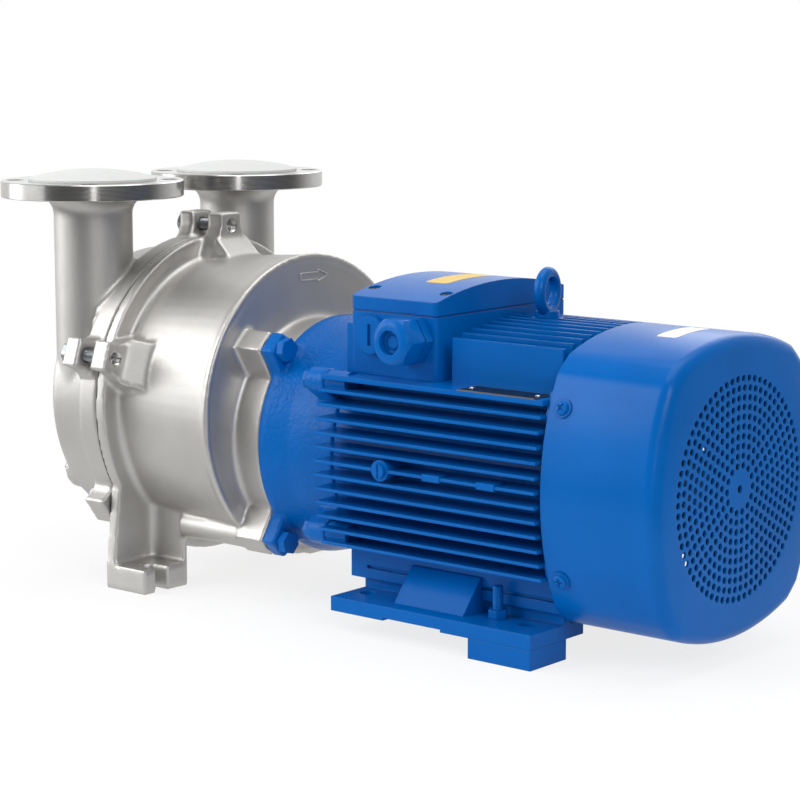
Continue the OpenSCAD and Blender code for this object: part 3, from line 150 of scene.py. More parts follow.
# Each soft box has its place, width, height and watts, and faces the part.
SOFT_BOXES = {
    "key": ((-1.4, -1.9, 1.6), 1.5, 1.5, 31.0),
    "top": ((0.2, 0.1, 2.3), 1.7, 1.7, 24.0),
    "side": ((2.2, -1.1, 1.5), 1.0, 1.0, 20.0),
    "back": ((-0.6, 2.3, 1.6), 1.4, 1.4, 12.0),
    "right_strip": ((1.75, -1.85, 0.75), 0.25, 1.4, 4.0),
    "left": ((-2.1, -1.0, 0.7), 0.9, 1.5, 13.0),
    "low_fill": ((-1.5, -2.0, 0.45), 1.6, 0.9, 5.0),
}
for name, (place, wide, tall, watts) in SOFT_BOXES.items():
    lamp = bpy.data.lights.new(name, "AREA")
    lamp.shape = "RECTANGLE"
    lamp.size, lamp.size_y, lamp.energy = wide, tall, watts
    holder = bpy.data.objects.new(name, lamp)
    holder.location = place
    holder.rotation_euler = (Vector(place) - TARGET).to_track_quat("Z", "Y").to_euler()
    scene.collection.objects.link(holder)


# Shaft and rotor: a turned carbon steel shaft with a stack of punched sheets shrunk on it.
# It runs in two ball bearings and reaches out of the motor to carry the impeller.
def finish(name, metallic, roughness, **sockets):
    """A new material with its constants on the shader's own sockets; returns it, its tree and its shader."""
    material = bpy.data.materials.new(name)
    material.use_nodes = True
    shader = material.node_tree.nodes["Principled BSDF"]
    shader.inputs["Metallic"].default_value = metallic
    shader.inputs["Roughness"].default_value = roughness
    for socket, value in sockets.items():
        shader.inputs[socket.replace("_", " ")].default_value = value
    return material, material.node_tree, shader


def dress(material, *names, split=30.0):
    """Gives CAD nodes a material, joins their loose triangles and shades them smooth up to the split angle."""
    for name in names:
        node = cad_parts[name]
        node.data.materials.clear()
        node.data.materials.append(material)
        node.data.polygons.foreach_set("use_smooth", np.ones(len(node.data.polygons), bool))
        node.data.update()
        node.modifiers.new("join", "WELD").merge_threshold = 1e-5
        if split:
            node.modifiers.new("arrises", "EDGE_SPLIT").split_angle = math.radians(split)


# A wave texture of scale 1 repeats after 2 pi / 20, so this over a period in metres is its scale.
WAVE_STEP = 0.314

# Turned steel: bright, with rings from the tool that soften the reflection.
# The feed is 0.2 mm on the real shaft and is drawn at 0.8 mm so that it shows.
turned, tree, shader = finish("turned_carbon_steel", 1.0, 0.25)
where = put(tree, "TexCoord", {})
rings = put(
    tree,
    "TexWave",
    {"wave_type": "BANDS", "bands_direction": "X", "Scale": WAVE_STEP / 0.0008, "Distortion": 0.4},
    {"Vector": where.outputs["Object"]},
)
tone = put(tree, "MixRGB", {1: linear("#c9cbcd"), 2: linear("#b4b7ba")}, {0: rings.outputs["Fac"]})
sheen = put(tree, "MapRange", {"To Min": 0.2, "To Max": 0.34}, {"Value": rings.outputs["Fac"]})
tree.links.new(tone.outputs[0], shader.inputs["Base Color"])
tree.links.new(sheen.outputs[0], shader.inputs["Roughness"])
dress(turned, "motor_shaft", "impeller_key", "impeller_nut", "fan_circlip")

# Punched electrical sheet: dark oxide grey with the thin lines of its stacked edges.
# The sheets are 0.5 mm and are drawn at 2 mm so that they show.
stacked, tree, shader = finish("oxide_coated_lamination", 0.6, 0.5)
where = put(tree, "TexCoord", {})
sheets = put(
    tree,
    "TexWave",
    {"wave_type": "BANDS", "bands_direction": "X", "Scale": WAVE_STEP / 0.002, "Distortion": 0.2},
    {"Vector": where.outputs["Object"]},
)
tone = put(tree, "MixRGB", {1: linear("#5c6066"), 2: linear("#3c3f44")}, {0: sheets.outputs["Fac"]})
edge = put(tree, "Bump", {"Strength": 0.3, "Distance": 0.0003}, {"Height": sheets.outputs["Fac"]})
tree.links.new(tone.outputs[0], shader.inputs["Base Color"])
tree.links.new(edge.outputs[0], shader.inputs["Normal"])
dress(stacked, "rotor_core", "stator_core")


# Bearings: ground and lapped chromium steel rings with eight balls each, pressed on the shaft.
# A lapped surface is nearly a mirror, with faint patches where the lap bit less.
def clouded(name, metallic, roughness, patch, tones, detail=2.0, **sockets):
    """A finish whose colour drifts between two tones in patches of a size in metres, by noise in object coordinates;
    returns the material, its tree, its shader and the noise."""
    material, tree, shader = finish(name, metallic, roughness, **sockets)
    where = put(tree, "TexCoord", {})
    noise = put(tree, "TexNoise", {"Scale": 1 / patch, "Detail": detail}, {"Vector": where.outputs["Object"]})
    tone = put(tree, "MixRGB", {1: linear(tones[0]), 2: linear(tones[1])}, {0: noise.outputs["Fac"]})
    tree.links.new(tone.outputs[0], shader.inputs["Base Color"])
    return material, tree, shader, noise


lapped, tree, shader, lap = clouded("lapped_bearing_steel", 1.0, 0.12, patch=0.0015, tones=("#d4d6d8", "#c2c5c8"))
sheen = put(tree, "MapRange", {"To Min": 0.08, "To Max": 0.2}, {"Value": lap.outputs["Fac"]})
tree.links.new(sheen.outputs[0], shader.inputs["Roughness"])
dress(lapped, "drive_bearing_inner", "drive_bearing_outer", "drive_bearing_balls")
dress(lapped, "rear_bearing_inner", "rear_bearing_outer", "rear_bearing_balls")


# Stator windings: end turns of enamelled copper wire, laced and dipped in amber varnish.
# The wire is 1 mm thick, and its turns show as close round ridges.
wound, tree, shader = finish("varnished_copper_winding", 0.85, 0.35, Coat_Weight=0.5, Coat_Roughness=0.2)
where = put(tree, "TexCoord", {})
wire = {"wave_type": "RINGS", "rings_direction": "X", "Scale": WAVE_STEP / 0.0011, "Distortion": 3.0, "Detail": 2.0}
turns = put(tree, "TexWave", wire, {"Vector": where.outputs["Object"]})
tone = put(tree, "MixRGB", {1: linear("#7a3f1a"), 2: linear("#b8733a")}, {0: turns.outputs["Fac"]})
ridge = put(tree, "Bump", {"Strength": 0.7, "Distance": 0.0005}, {"Height": turns.outputs["Fac"]})
tree.links.new(tone.outputs[0], shader.inputs["Base Color"])
tree.links.new(ridge.outputs[0], shader.inputs["Normal"])
dress(wound, "stator_windings")


# Motor frame: a finned casting with a skirt down each side, sprayed blue with the rest of the
# motor after assembly, so that the paint bridges small gaps and rounds every arris.
def coat_of_blue(name, grit, depth, arris_r, low, high):
    """Blue machine enamel over a ground whose grit has a size and depth; its roughness lies from low to high."""
    coat, tree, shader, _ = clouded(
        name, 0.0, 0.15, patch=0.06, tones=("#0064b8", "#0056a2"), detail=3.0, Specular_IOR_Level=0.13
    )
    where = put(tree, "TexCoord", {})
    grain = {"Scale": 1 / grit, "Detail": 3.0, "Roughness": 0.55}
    ground = put(tree, "TexNoise", grain, {"Vector": where.outputs["Object"]})
    sheen = put(tree, "MapRange", {"To Min": low, "To Max": high}, {"Value": ground.outputs["Fac"]})
    soft = put(tree, "Bevel", {"samples": 4, "Radius": arris_r})
    over = {"Height": ground.outputs["Fac"], "Normal": soft.outputs["Normal"]}
    relief = put(tree, "Bump", {"Strength": 1.0, "Distance": depth}, over)
    tree.links.new(sheen.outputs[0], shader.inputs["Roughness"])
    tree.links.new(relief.outputs[0], shader.inputs["Normal"])
    return coat


# Enamel on a smooth ground flows out to long waves, the peel, 5 mm apart and a few microns deep.
blue_smooth = coat_of_blue("gloss_blue_enamel", grit=0.005, depth=0.00003, arris_r=0.0013, low=0.19, high=0.3)
dress(blue_smooth, "motor_frame")


# End shields: sand cast iron, machined only at the joints, with the sand's grain under the paint.
# The front one has the four ears that the pump casing is screwed to.
def cast(voxel, rounds, *names):
    """Turns a node into one skin on a fine grid and relaxes it, which rounds roots and edges as a casting does."""
    for name in names:
        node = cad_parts[name]
        regrown = node.modifiers.new("skin", "REMESH")
        regrown.mode, regrown.voxel_size, regrown.use_smooth_shade = "VOXEL", voxel, True
        relax = node.modifiers.new("roots", "SMOOTH")
        relax.factor, relax.iterations = 0.5, rounds


# Enamel over sand: the grains are 1 mm and stand in clusters of 3 mm that glint one by one.
blue_cast = coat_of_blue(
    "gloss_blue_enamel_on_sand_casting", grit=0.0032, depth=0.0007, arris_r=0.0012, low=0.14, high=0.3
)
IRON_VOXEL, IRON_ROUNDS = 0.0018, 4
dress(blue_cast, "drive_end_shield", split=0.0)
cast(IRON_VOXEL, IRON_ROUNDS, "drive_end_shield")
dress(blue_cast, "rear_end_shield")
dress(blue_smooth, "flange_bolts", "tie_bolts")


# Feet and spacers: plate feet under the frame's skirts, and a cut bar under each foot's rear end.
# A stud in each bar comes up through the foot and takes a nut, all painted in place.
dress(blue_smooth, "suction_side_foot", "discharge_side_foot", "suction_side_spacer", "discharge_side_spacer")
dress(blue_smooth, "spacer_nuts")


def skin(name, grid, body, material, split=35.0):
    """One mesh from grids of points, each rows by columns by 3 and closed along its columns; smooth up to split."""
    points, quads, first = [], [], 0
    for part in grid:
        rows, columns = part.shape[:2]
        index = first + np.arange(rows * columns).reshape(rows, columns)
        index = np.concatenate([index, index[:, :1]], 1)
        corners = [index[:-1, :-1], index[:-1, 1:], index[1:, 1:], index[1:, :-1]]
        quads.append(np.stack(corners, -1).reshape(-1, 4))
        points.append(part.reshape(-1, 3))
        first += rows * columns
    mesh = bpy.data.meshes.new(name)
    mesh.from_pydata(np.concatenate(points).tolist(), [], np.concatenate(quads).tolist())
    mesh.polygons.foreach_set("use_smooth", np.ones(len(mesh.polygons), bool))
    mesh.materials.append(material)
    piece = bpy.data.objects.new(name, mesh)
    scene.collection.objects.link(piece)
    piece.modifiers.new("join", "WELD").merge_threshold = 1e-6
    piece.modifiers.new("arrises", "EDGE_SPLIT").split_angle = math.radians(split)
    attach(piece, body)
    return piece


def thread(z, pitch, angle):
    """A screw thread as a share of its depth from crest to root: a cosine of the height less one pitch a turn."""
    return 0.5 - 0.5 * np.cos(2.0 * np.pi * z / pitch - angle)


def threaded_stud(x, y, low, high, radius, pitch, depth):
    """A rod along Z whose radius falls by its thread; both ends taper over a quarter of the radius."""
    taper, end_share = 0.25 * radius, 0.78
    z = np.linspace(low, high, int(round((high - low) / pitch)) * 8 + 1)[:, None]
    angle = np.linspace(0.0, 2.0 * np.pi, 32, endpoint=False)[None, :]
    end = np.clip((high - z) / taper, 0.0, 1.0) * np.clip((z - low) / taper, 0.0, 1.0)
    eased = np.where(end < 1.0, end_share + (1.0 - end_share) * end, 1.0)
    r = (radius - depth * thread(z, pitch, angle)) * eased
    r = np.concatenate([0.0 * r[:1], r, 0.0 * r[:1]])
    z = np.concatenate([z[:1], z, z[-1:]])
    return np.stack([x + r * np.cos(angle), y + r * np.sin(angle), z + 0.0 * angle], -1)


STUD_R, STUD_PITCH, STUD_DEPTH = 0.004, 0.00125, 0.0003
low_end, high_end = (np.array(corner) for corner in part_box("spacer_studs"))
stud_x = (low_end[0] + high_end[0]) / 2
rods = [
    threaded_stud(stud_x, y, low_end[2], high_end[2], STUD_R, STUD_PITCH, STUD_DEPTH)
    for y in (low_end[1] + STUD_R, high_end[1] - STUD_R)
]
studs = skin("threaded_studs", rods, "pump_unit", blue_smooth, split=80.0)
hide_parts("spacer_studs")


# Fan and terminal block: mouldings of black nylon. The fan is a paddle wheel on the shaft's end,
# held by a circlip under the cowl. Nylon is a soft black with a spark-eroded grain of about 1 mm.
nylon, tree, shader, grain = clouded("moulded_black_nylon", 0.0, 0.5, patch=0.0012, tones=("#141518", "#202226"))
relief = put(tree, "Bump", {"Strength": 0.3, "Distance": 0.0001}, {"Height": grain.outputs["Fac"]})
tree.links.new(relief.outputs[0], shader.inputs["Normal"])
dress(nylon, "cooling_fan", "terminal_block")


# Seals: a rubber ring round the shaft, and a flat fibre gasket between the pump casing and its
# cover. Rubber is matt and nearly black, with a dusty bloom in soft patches of 8 mm.
rubber, *_ = clouded("black_nitrile_rubber", 0.0, 0.75, patch=0.008, tones=("#191a1c", "#2b2c2f"), detail=3.0)
dress(rubber, "shaft_seal")

# Pressed fibre sheet: its cut edge between the castings is a flat grey, mottled every 2 mm.
fibre, *_ = clouded("pressed_fibre_sheet", 0.0, 0.8, patch=0.002, tones=("#6f6d69", "#858380"))
dress(fibre, "cover_gasket")


# Cowl: one deep drawn sheet with a punched end, slipped over the rear shield and held by four
# pan head screws with washers. Its top carries a blank white film label.
dress(blue_smooth, "fan_cowl")


def along(origin, axis, up, r, z, angle):
    """Points at radius r, height z and angle about an axis through an origin; up is any direction off the axis."""
    axis = np.array(axis) / np.linalg.norm(axis)
    first = np.cross(up, axis)
    first = first / np.linalg.norm(first)
    second = np.cross(axis, first)
    spoke = (r * np.cos(angle))[..., None] * first + (r * np.sin(angle))[..., None] * second
    return np.array(origin) + spoke + (z + 0.0 * angle)[..., None] * axis


def cross_head(origin, axis, up, head_r, head_h, dome, washer_r, washer_t):
    """A screw head about its axis, in rings from its seat out, up and in to the middle. The top is a shallow dome
    less a cross, whose arms are a third of the radius wide and deepest in the middle, over a washer."""
    arm_half, arm_flank, arm_end, end_flank = 0.16, 0.05, 0.62, 0.06
    middle_depth, outward_rise, dome_share = 0.62, 0.45, 0.9
    angle = np.linspace(0.0, 2.0 * np.pi, 64, endpoint=False)[None, :]
    r = np.linspace(1.0, 0.0, 26)[:, None]
    off = np.minimum(np.abs(np.sin(angle)), np.abs(np.cos(angle))) * r
    arm = np.clip((arm_half - off) / arm_flank, 0.0, 1.0) * np.clip((arm_end - r) / end_flank, 0.0, 1.0)
    fall = (np.sqrt(1.0 - dome_share * r**2) - 1.0) / (1.0 - math.sqrt(1.0 - dome_share))
    z = washer_t + head_h + dome * fall - arm * (middle_depth - outward_rise * r) * head_h
    seat_r = np.array([0.0, washer_r / head_r, washer_r / head_r, 1.0])[:, None]
    seat_z = np.array([0.0, 0.0, washer_t, washer_t])[:, None]
    r = np.concatenate([seat_r + 0.0 * angle, r + 0.0 * angle]) * head_r
    z = np.concatenate([seat_z + 0.0 * angle, z])
    return along(origin, axis, up, r, z, angle + 0.0 * r)


SHAFT_Z = 0.127
COWL_SIDE_R, COWL_HALF_W, SCREW_Z, OFF_SHEET = 0.190, 0.107, 0.061, 0.00005
PAN_HEAD = {"head_r": 0.005, "head_h": 0.0028, "dome": 0.0012, "washer_r": 0.007, "washer_t": 0.0012}
low_end, high_end = (np.array(corner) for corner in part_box("cowl_screws"))
lean = math.asin(SCREW_Z / COWL_SIDE_R)
screw_x = (low_end[0] + high_end[0]) / 2
reach = COWL_HALF_W - COWL_SIDE_R + COWL_SIDE_R * math.cos(lean) + OFF_SHEET
FIRST_TURN = 0.5  # radians; every cross stands as the driver happened to leave it
heads = [
    cross_head(
        (screw_x, side * reach, SHAFT_Z + rise * SCREW_Z),
        (0.0, side * math.cos(lean), rise * math.sin(lean)),
        (math.sin(FIRST_TURN + side + rise), 0.0, math.cos(FIRST_TURN + side + rise)),
        **PAN_HEAD,
    )
    for side in (-1, 1)
    for rise in (-1, 1)
]
cowl_screws = skin("pan_head_cowl_screws", heads, "pump_unit", blue_smooth)
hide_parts("cowl_screws")


def film(x0, x1, y0, y1, crown, radius, thick):
    """A label on a roof arched about X, in rings from its middle out, up over its rim and in again. A ring is a
    superellipse of power 14, and its height is that of the circle through the crown, plus the film on top."""
    power, steps = 14, 9
    angle = np.linspace(0.0, 2.0 * np.pi, 96, endpoint=False)[None, :]
    share = np.concatenate([np.linspace(0.0, 1.0, steps), np.linspace(1.0, 0.0, steps)])[:, None]
    lift = np.repeat([0.0, thick], steps)[:, None]
    size = (np.abs(np.cos(angle)) ** power + np.abs(np.sin(angle)) ** power) ** (-1 / power) * share
    x = (x0 + x1) / 2 + (x1 - x0) / 2 * size * np.cos(angle)
    y = (y0 + y1) / 2 + (y1 - y0) / 2 * size * np.sin(angle)
    return np.stack([x, y, crown - radius + np.sqrt(radius**2 - y**2) + lift], -1)


# Vinyl film: an even satin white that has yellowed a little in cloudy patches of 15 mm.
vinyl, *_ = clouded("satin_white_vinyl", 0.0, 0.35, patch=0.015, tones=("#e6e4df", "#d9d6cf"))
FILM_T, COWL_TOP_R, COWL_CROWN_Z = 0.00015, 0.200, 0.237
cowl_film = film(x0=0.268, x1=0.285, y0=-0.031, y1=0.014, crown=COWL_CROWN_Z, radius=COWL_TOP_R, thick=FILM_T)
skin("cowl_label", [cowl_film], "pump_unit", vinyl)


# Terminal box: an aluminium die casting with an arched lid on a thin gasket. The lid is held by
# four screws sunk in its corners and carries a blank yellow film label.
dress(blue_smooth, "terminal_box_base", "terminal_box_lid")

# Gasket edge: paint has run into the joint, which is left a darker blue, blotched every 4 mm.
filled, *_ = clouded("paint_filled_gasket_edge", 0.0, 0.5, patch=0.004, tones=("#01306c", "#013f86"))
dress(filled, "terminal_box_gasket")

# Blackened steel: a dark grey with a dull gleam, mottled every 2 mm. The heads sit low in the lid's corners.
blackened, *_ = clouded("oiled_black_oxide_steel", 0.9, 0.35, patch=0.002, tones=("#20242b", "#3c424b"))

LID_HEAD_R, LID_HEAD_RISE = 0.0045, 0.0035
LID_HEAD = {"head_r": LID_HEAD_R, "head_h": 0.0042, "dome": 0.0008, "washer_r": 0.0046, "washer_t": 0.0001}
LID_TURN = 9  # radians for each metre along the lid, so that no two crosses stand alike
low_end, high_end = (np.array(corner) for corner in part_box("lid_screws"))
heads = [
    cross_head(
        (x, y, high_end[2] - LID_HEAD_RISE),
        (0, 0, 1),
        (math.cos(LID_TURN * x), math.sin(LID_TURN * y), 0.0),
        **LID_HEAD,
    )
    for x in (low_end[0] + LID_HEAD_R, high_end[0] - LID_HEAD_R)
    for y in (low_end[1] + LID_HEAD_R, high_end[1] - LID_HEAD_R)
]
lid_heads = skin("sunk_lid_screws", heads, "pump_unit", blackened)
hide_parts("lid_screws")

# Yellow film: satin vinyl as on the cowl, dyed a warm yellow.
yellow, *_ = clouded("satin_yellow_vinyl", 0.0, 0.35, patch=0.015, tones=("#e0bd4e", "#d6ae3c"))
LID_TOP_R = 0.2964
lid_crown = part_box("terminal_box_lid")[1][2]
lid_film = film(x0=0.0625, x1=0.084, y0=-0.036, y1=0.026, crown=lid_crown, radius=LID_TOP_R, thick=FILM_T)
skin("lid_label", [lid_film], "pump_unit", yellow)

# Terminals: brass studs and nuts in a moulded block. Brass is turned, with a warm, slightly dull shine.
brass, *_ = clouded("turned_brass", 1.0, 0.28, patch=0.003, tones=("#cfa850", "#b58c3a"))
dress(brass, "terminal_studs")

# Cable gland and blanking plug: moulded and metal screw fittings painted over with the box.
dress(blue_smooth, "gland_body", "gland_nut", "gland_seal", "blanking_plug")


# Eye bolt, earth screw and nameplate: a forged ring for lifting, a slotted screw on the fins, and
# an anodised plate with a black face and a bare rim, left without words, on two rivets.
dress(blue_smooth, "eye_bolt", "earth_screw")

# Anodised plate: a soft black face mottled every 2.5 mm, with a rim of dull bare metal round it.
PLATE_RIM = 0.0012
plate_low, plate_high = (np.array(corner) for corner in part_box("nameplate"))
middle, half = (plate_low + plate_high) / 2, (plate_high - plate_low) / 2
anodised, tree, shader = finish("black_anodised_plate", 1.0, 0.36)
where = put(tree, "TexCoord", {})
local = put(tree, "VectorMath", {"operation": "SUBTRACT", 1: middle}, {0: where.outputs["Object"]})
local = put(tree, "VectorMath", {"operation": "ABSOLUTE"}, {0: local.outputs[0]})
local = put(tree, "SeparateXYZ", {}, {0: local.outputs[0]})
in_x = put(tree, "Math", {"operation": "SUBTRACT", 0: half[0]}, {1: local.outputs["X"]})
in_y = put(tree, "Math", {"operation": "SUBTRACT", 0: half[1]}, {1: local.outputs["Y"]})
inset = put(tree, "Math", {"operation": "MINIMUM"}, {0: in_x.outputs[0], 1: in_y.outputs[0]})
face = put(tree, "Math", {"operation": "GREATER_THAN", 1: PLATE_RIM}, {0: inset.outputs[0]})
brush = put(tree, "TexNoise", {"Scale": 1 / 0.0025, "Detail": 2.0}, {"Vector": where.outputs["Object"]})
black_tone = put(tree, "MixRGB", {1: linear("#15181c"), 2: linear("#2a2d31")}, {0: brush.outputs["Fac"]})
tone = put(tree, "MixRGB", {1: linear("#8f8674")}, {0: face.outputs[0], 2: black_tone.outputs[0]})
tree.links.new(tone.outputs[0], shader.inputs["Base Color"])
dress(anodised, "nameplate")
dress(turned, "nameplate_rivets")


# Pump casing: an eccentric stainless casting with feet, lugs and an eared boss, blasted with glass
# bead. Roots and edges are soft, and an outlined arrow cast on the shoulder shows the turning sense.

# Bead blasted stainless: a neutral pale grey with a satin sheen and an even fine grain. The marks
# are 0.3 mm on the real casting and are drawn at 1.2 mm so that they show.
blasted, tree, shader, _ = clouded(
    "bead_blasted_cast_stainless", 1.0, 0.46, patch=0.04, tones=("#d4d2cf", "#bebcb9"), detail=4.0
)
where = put(tree, "TexCoord", {})
bead = put(tree, "TexNoise", {"Scale": 1 / 0.0012, "Detail": 2.0}, {"Vector": where.outputs["Object"]})
satin = put(tree, "MapRange", {"To Min": 0.4, "To Max": 0.56}, {"Value": bead.outputs["Fac"]})
grain = put(tree, "Bump", {"Strength": 0.25, "Distance": 0.0004}, {"Height": bead.outputs["Fac"]})
tree.links.new(satin.outputs[0], shader.inputs["Roughness"])
tree.links.new(grain.outputs[0], shader.inputs["Normal"])
STAINLESS_VOXEL, STAINLESS_ROUNDS = 0.00215, 2
dress(blasted, "pump_casing", split=0.0)
cast(STAINLESS_VOXEL, STAINLESS_ROUNDS, "pump_casing")


def bead_round(corners, x, z, radius):
    """A half round bead along a closed outline in Y and Z: at each step of the path a circle stands across it."""
    legs = np.roll(corners, -1, 0) - corners
    t = np.linspace(0.0, 1.0, 24, endpoint=False)
    path = (corners[:, None] + legs[:, None] * t[None, :, None]).reshape(-1, 2)
    path = (np.roll(path, 1, 0) + 2.0 * path + np.roll(path, -1, 0)) / 4.0
    run = np.roll(path, -1, 0) - np.roll(path, 1, 0)
    run = run / np.linalg.norm(run, axis=1)[:, None]
    side = np.stack([run[:, 1], -run[:, 0]], -1)
    angle = np.linspace(0.0, 2.0 * np.pi, 12, endpoint=False)
    flat = path[None] + radius * np.cos(angle)[:, None, None] * side[None]
    out = x + radius * np.sin(angle)[:, None] + 0.0 * flat[..., 0]
    grid = np.stack([out, flat[..., 0], z + flat[..., 1]], -1)
    return np.concatenate([grid, grid[:1]])


SHOULDER_X, ARROW_Z, ARROW_BEAD_R = -0.0855, 0.2508, 0.0009
TAIL_MM, NECK_MM, TIP_MM, STEM_MM, BARB_MM = -11.0, 9.4, 21.6, 2.8, 4.8
lower_edge = [(TAIL_MM, -STEM_MM), (NECK_MM, -STEM_MM), (NECK_MM, -BARB_MM)]
upper_edge = [(NECK_MM, BARB_MM), (NECK_MM, STEM_MM), (TAIL_MM, STEM_MM)]
outline = np.array([*lower_edge, (TIP_MM, 0.0), *upper_edge]) / 1000.0
arrow = bead_round(outline, SHOULDER_X, ARROW_Z, ARROW_BEAD_R)
skin("cast_turning_arrow", [arrow], "pump_unit", blasted, 80.0)


# Inside the casing: a stainless impeller, the control disc with its ports, the stop of the valve
# flap, and the head of a face seal on the shaft. They are turned and ground all over.
dress(turned, "impeller", "control_disc", "valve_stop", "seal_head")


# Port cover: a stainless casting like the casing, with two flanged necks. The flanges are turned
# on their faces and rims, and five hex bolts pull the cover onto the casing.
dress(blasted, "port_cover", split=0.0)
cast(STAINLESS_VOXEL, STAINLESS_ROUNDS, "port_cover")

# Turned stainless: bright and neutral, with faint rings from the tool round each port. The feed
# is 0.3 mm and is drawn at 1 mm so that it shows.
faced, tree, shader, _ = clouded(
    "turned_stainless_flange", 1.0, 0.2, patch=0.012, tones=("#d4d3d1", "#bdbcba"), detail=3.0
)
where = put(tree, "TexCoord", {})
feed = {"wave_type": "BANDS", "bands_direction": "Z", "Scale": WAVE_STEP / 0.001, "Distortion": 1.5, "Detail": 2.0}
rings = put(tree, "TexWave", feed, {"Vector": where.outputs["Object"]})
sheen = put(tree, "MapRange", {"To Min": 0.14, "To Max": 0.3}, {"Value": rings.outputs["Fac"]})
tree.links.new(sheen.outputs[0], shader.inputs["Roughness"])

PORT_X, PORT_Y, FLANGE_Z = -0.2465, 0.085, 0.326
FLANGE_R, FLANGE_T, BOLT_CIRCLE_R, BOLT_HOLE_R, FACE_R = 0.074, 0.013, 0.0625, 0.007, 0.0262
PROUD, EDGE_BREAK = 0.0001, 0.0007


def flange_rings(y):
    """Two rings round a port, outside and inside its bolt circle. Round each ring runs a profile of face, rim and
    back, and where a bolt hole is, its edge on the bolt circle gives way by half the hole's chord at that angle."""
    half_angle = math.asin(BOLT_HOLE_R / BOLT_CIRCLE_R)
    near = half_angle * np.sin(np.linspace(-np.pi / 2, np.pi / 2, 25))
    clear = np.linspace(half_angle, np.pi / 2 - half_angle, 22)[1:-1]
    quarter = np.concatenate([near, clear])
    off = np.tile(quarter, 4)
    angle = off + np.repeat(np.arange(4) * np.pi / 2 + np.pi / 4, len(quarter))
    at_hole = np.abs(off) <= half_angle
    middle = BOLT_CIRCLE_R * np.cos(np.where(at_hole, off, half_angle))
    chord = np.sqrt(np.clip(BOLT_HOLE_R**2 - (BOLT_CIRCLE_R * np.sin(off)) ** 2, 0.0, None)) * at_hole
    top, bottom = FLANGE_Z + PROUD, FLANGE_Z - FLANGE_T - PROUD
    rim, bore = FLANGE_R + PROUD + 0.0 * off, FACE_R + 0.0 * off
    out_r = [middle + chord, rim - EDGE_BREAK, rim, rim, rim - EDGE_BREAK, middle + chord]
    out_z = [bottom, bottom, bottom + EDGE_BREAK, top - EDGE_BREAK, top, top]
    in_r = [middle - chord, bore, bore, middle - chord]
    in_z = [top, top, bottom, bottom]
    grids = []
    for radii, heights in ((out_r, out_z), (in_r, in_z)):
        r = np.stack(radii + radii[:1])
        z = np.array(heights + heights[:1])[:, None] + 0.0 * r
        grids.append(np.stack([PORT_X + r * np.cos(angle), y + r * np.sin(angle), z], -1))
    return grids


for name, y in (("suction_flange_turned", -PORT_Y), ("discharge_flange_turned", PORT_Y)):
    skin(name, flange_rings(y), "pump_unit", faced, 25.0)

# Plated steel: a cool grey with a soft shine, cloudy where the zinc is thin, in patches of 4 mm.
plated, tree, shader, zinc = clouded(
    "zinc_plated_steel", 1.0, 0.34, patch=0.004, tones=("#a9adb2", "#84888d"), detail=3.0
)
sheen = put(tree, "MapRange", {"To Min": 0.26, "To Max": 0.44}, {"Value": zinc.outputs["Fac"]})
soft = put(tree, "Bevel", {"samples": 4, "Radius": 0.0006})
tree.links.new(sheen.outputs[0], shader.inputs["Roughness"])
tree.links.new(soft.outputs[0], shader.inputs["Normal"])
dress(plated, "feed_plug", "drain_plug")

BOLT_R, BOLT_PITCH, BOLT_DEPTH, BOLT_POINT = 0.005, 0.0015, 0.0004, 0.001
HALF_FLATS, HEAD_H, TOP_SHARE, CONE_SLOPE = 0.008, 0.0064, 0.93, 1.73
TAP_DEPTH, TAP_LIP, TAP_WALL_R, SPOT_R, SPOT_DEPTH = 0.0006, 0.0008, 0.0056, 0.0066, 0.002


def hex_bolt(place, seat_x, end_x):
    """A bolt along X in rings from its head: each ring of the head is the lesser of a hexagon and a 30 degree cone,
    and the shank's radius falls by its thread and by a short point."""
    angle = np.linspace(0.0, 2.0 * np.pi, 96, endpoint=False)[None, :]
    head_z = np.array([0.0, 0.0, 0.0004, 0.0008, 0.0012, HEAD_H])[:, None]
    hexagon = HALF_FLATS / np.cos(angle % (np.pi / 3) - np.pi / 6)
    head_r = np.minimum(hexagon, TOP_SHARE * HALF_FLATS + CONE_SLOPE * head_z)
    head_r[0] = 0.0
    end_z = end_x - seat_x + HEAD_H
    shank_z = np.linspace(HEAD_H, end_z, int(round((end_z - HEAD_H) / BOLT_PITCH)) * 8 + 1)[:, None]
    shank_r = BOLT_R - BOLT_DEPTH * thread(shank_z, BOLT_PITCH, angle)
    shank_r = shank_r - BOLT_POINT * np.clip(1.0 - (end_z - shank_z) / BOLT_POINT, 0.0, 1.0)
    r = np.concatenate([head_r, shank_r, 0.0 * shank_r[-1:]])
    z = np.concatenate([head_z, shank_z, shank_z[-1:]])
    return along((seat_x - HEAD_H, *place), (1, 0, 0), (0, 0, 1), r, z + 0.0 * r, angle + 0.0 * r)


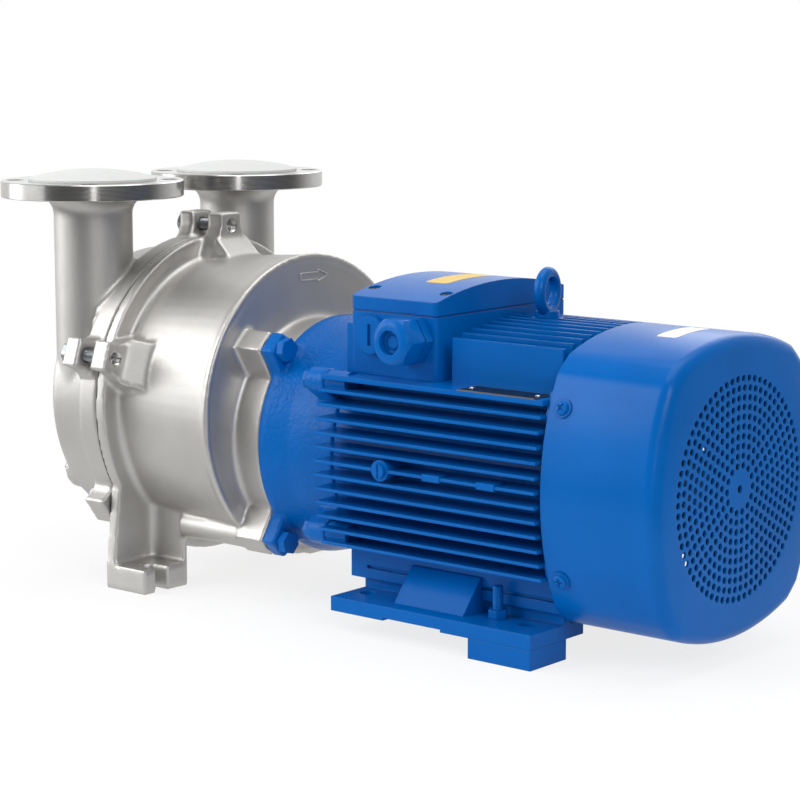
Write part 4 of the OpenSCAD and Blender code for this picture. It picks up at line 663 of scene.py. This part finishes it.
def tapped_hole(place, start_x, face_x):
    """The thread and spot face of a lug's hole, in rings from its wall out, over the face and back down the bore,
    whose radius falls by what the bolt's thread leaves free."""
    angle = np.linspace(0.0, 2.0 * np.pi, 64, endpoint=False)[None, :]
    deep = face_x - start_x
    bore_z = np.linspace(deep - TAP_LIP, 0.0, int(round(deep / BOLT_PITCH)) * 8 + 1)[:, None]
    bore_r = BOLT_R - TAP_DEPTH * (1.0 - thread(bore_z, BOLT_PITCH, angle))
    face_r = np.array([TAP_WALL_R, SPOT_R, SPOT_R, TAP_WALL_R])[:, None] + 0.0 * angle
    face_z = np.array([0.0, deep - SPOT_DEPTH, deep, deep])[:, None]
    r = np.concatenate([face_r, bore_r, face_r[:1]])
    z = np.concatenate([face_z, bore_z, face_z[:1]])
    return along((start_x, *place), (1, 0, 0), (0, 0, 1), r, z + 0.0 * r, angle + 0.0 * r)


LUG_R, LOW_LUG_R, CASING_Z = 0.140, 0.132, 0.147
UPPER_SEAT_X, LOWER_SEAT_X, LUG_BACK_X = -0.221, -0.2204, -0.172
UPPER_END_X, LOWER_END_X, THREAD_X = LUG_BACK_X - 0.0095, -0.1915, LUG_BACK_X - 0.009


def on_circle(radius, degrees):
    """Places in Y and Z on a circle about the casing's own axis."""
    return [(radius * math.cos(a), CASING_Z + radius * math.sin(a)) for a in map(math.radians, degrees)]


upper_lugs, lower_lugs = on_circle(LUG_R, (90, 162, 18)), on_circle(LOW_LUG_R, (216, 324))
bolts = [hex_bolt(place, UPPER_SEAT_X, UPPER_END_X) for place in upper_lugs]
bolts += [hex_bolt(place, LOWER_SEAT_X, LOWER_END_X) for place in lower_lugs]
casing_bolts = skin("hex_casing_bolts", bolts, "pump_unit", plated)
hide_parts("casing_bolts")
holes = [tapped_hole(place, THREAD_X, LUG_BACK_X + PROUD) for place in upper_lugs]
skin("tapped_lug_holes", holes, "pump_unit", faced)


# Dust caps: thin white polyethylene mouldings pushed into the open ports for transport. The film
# is milky, so light goes a little way in, and the crown shows faint flow lines 6 mm apart. The valve
# flap and the seal's seat inside are as pale and share the finish.
milky, tree, shader, flow = clouded(
    "moulded_white_polyethylene",
    0.0,
    0.42,
    patch=0.006,
    tones=("#d3d4d2", "#c8c9c7"),
    Subsurface_Weight=0.15,
    Subsurface_Scale=0.002,
)
soft = put(tree, "Bevel", {"samples": 4, "Radius": 0.0008})
over = {"Height": flow.outputs["Fac"], "Normal": soft.outputs["Normal"]}
relief = put(tree, "Bump", {"Strength": 0.5, "Distance": 0.0002}, over)
tree.links.new(relief.outputs[0], shader.inputs["Normal"])
dress(milky, "suction_cap", "discharge_cap", "valve_flap", "seal_seat")
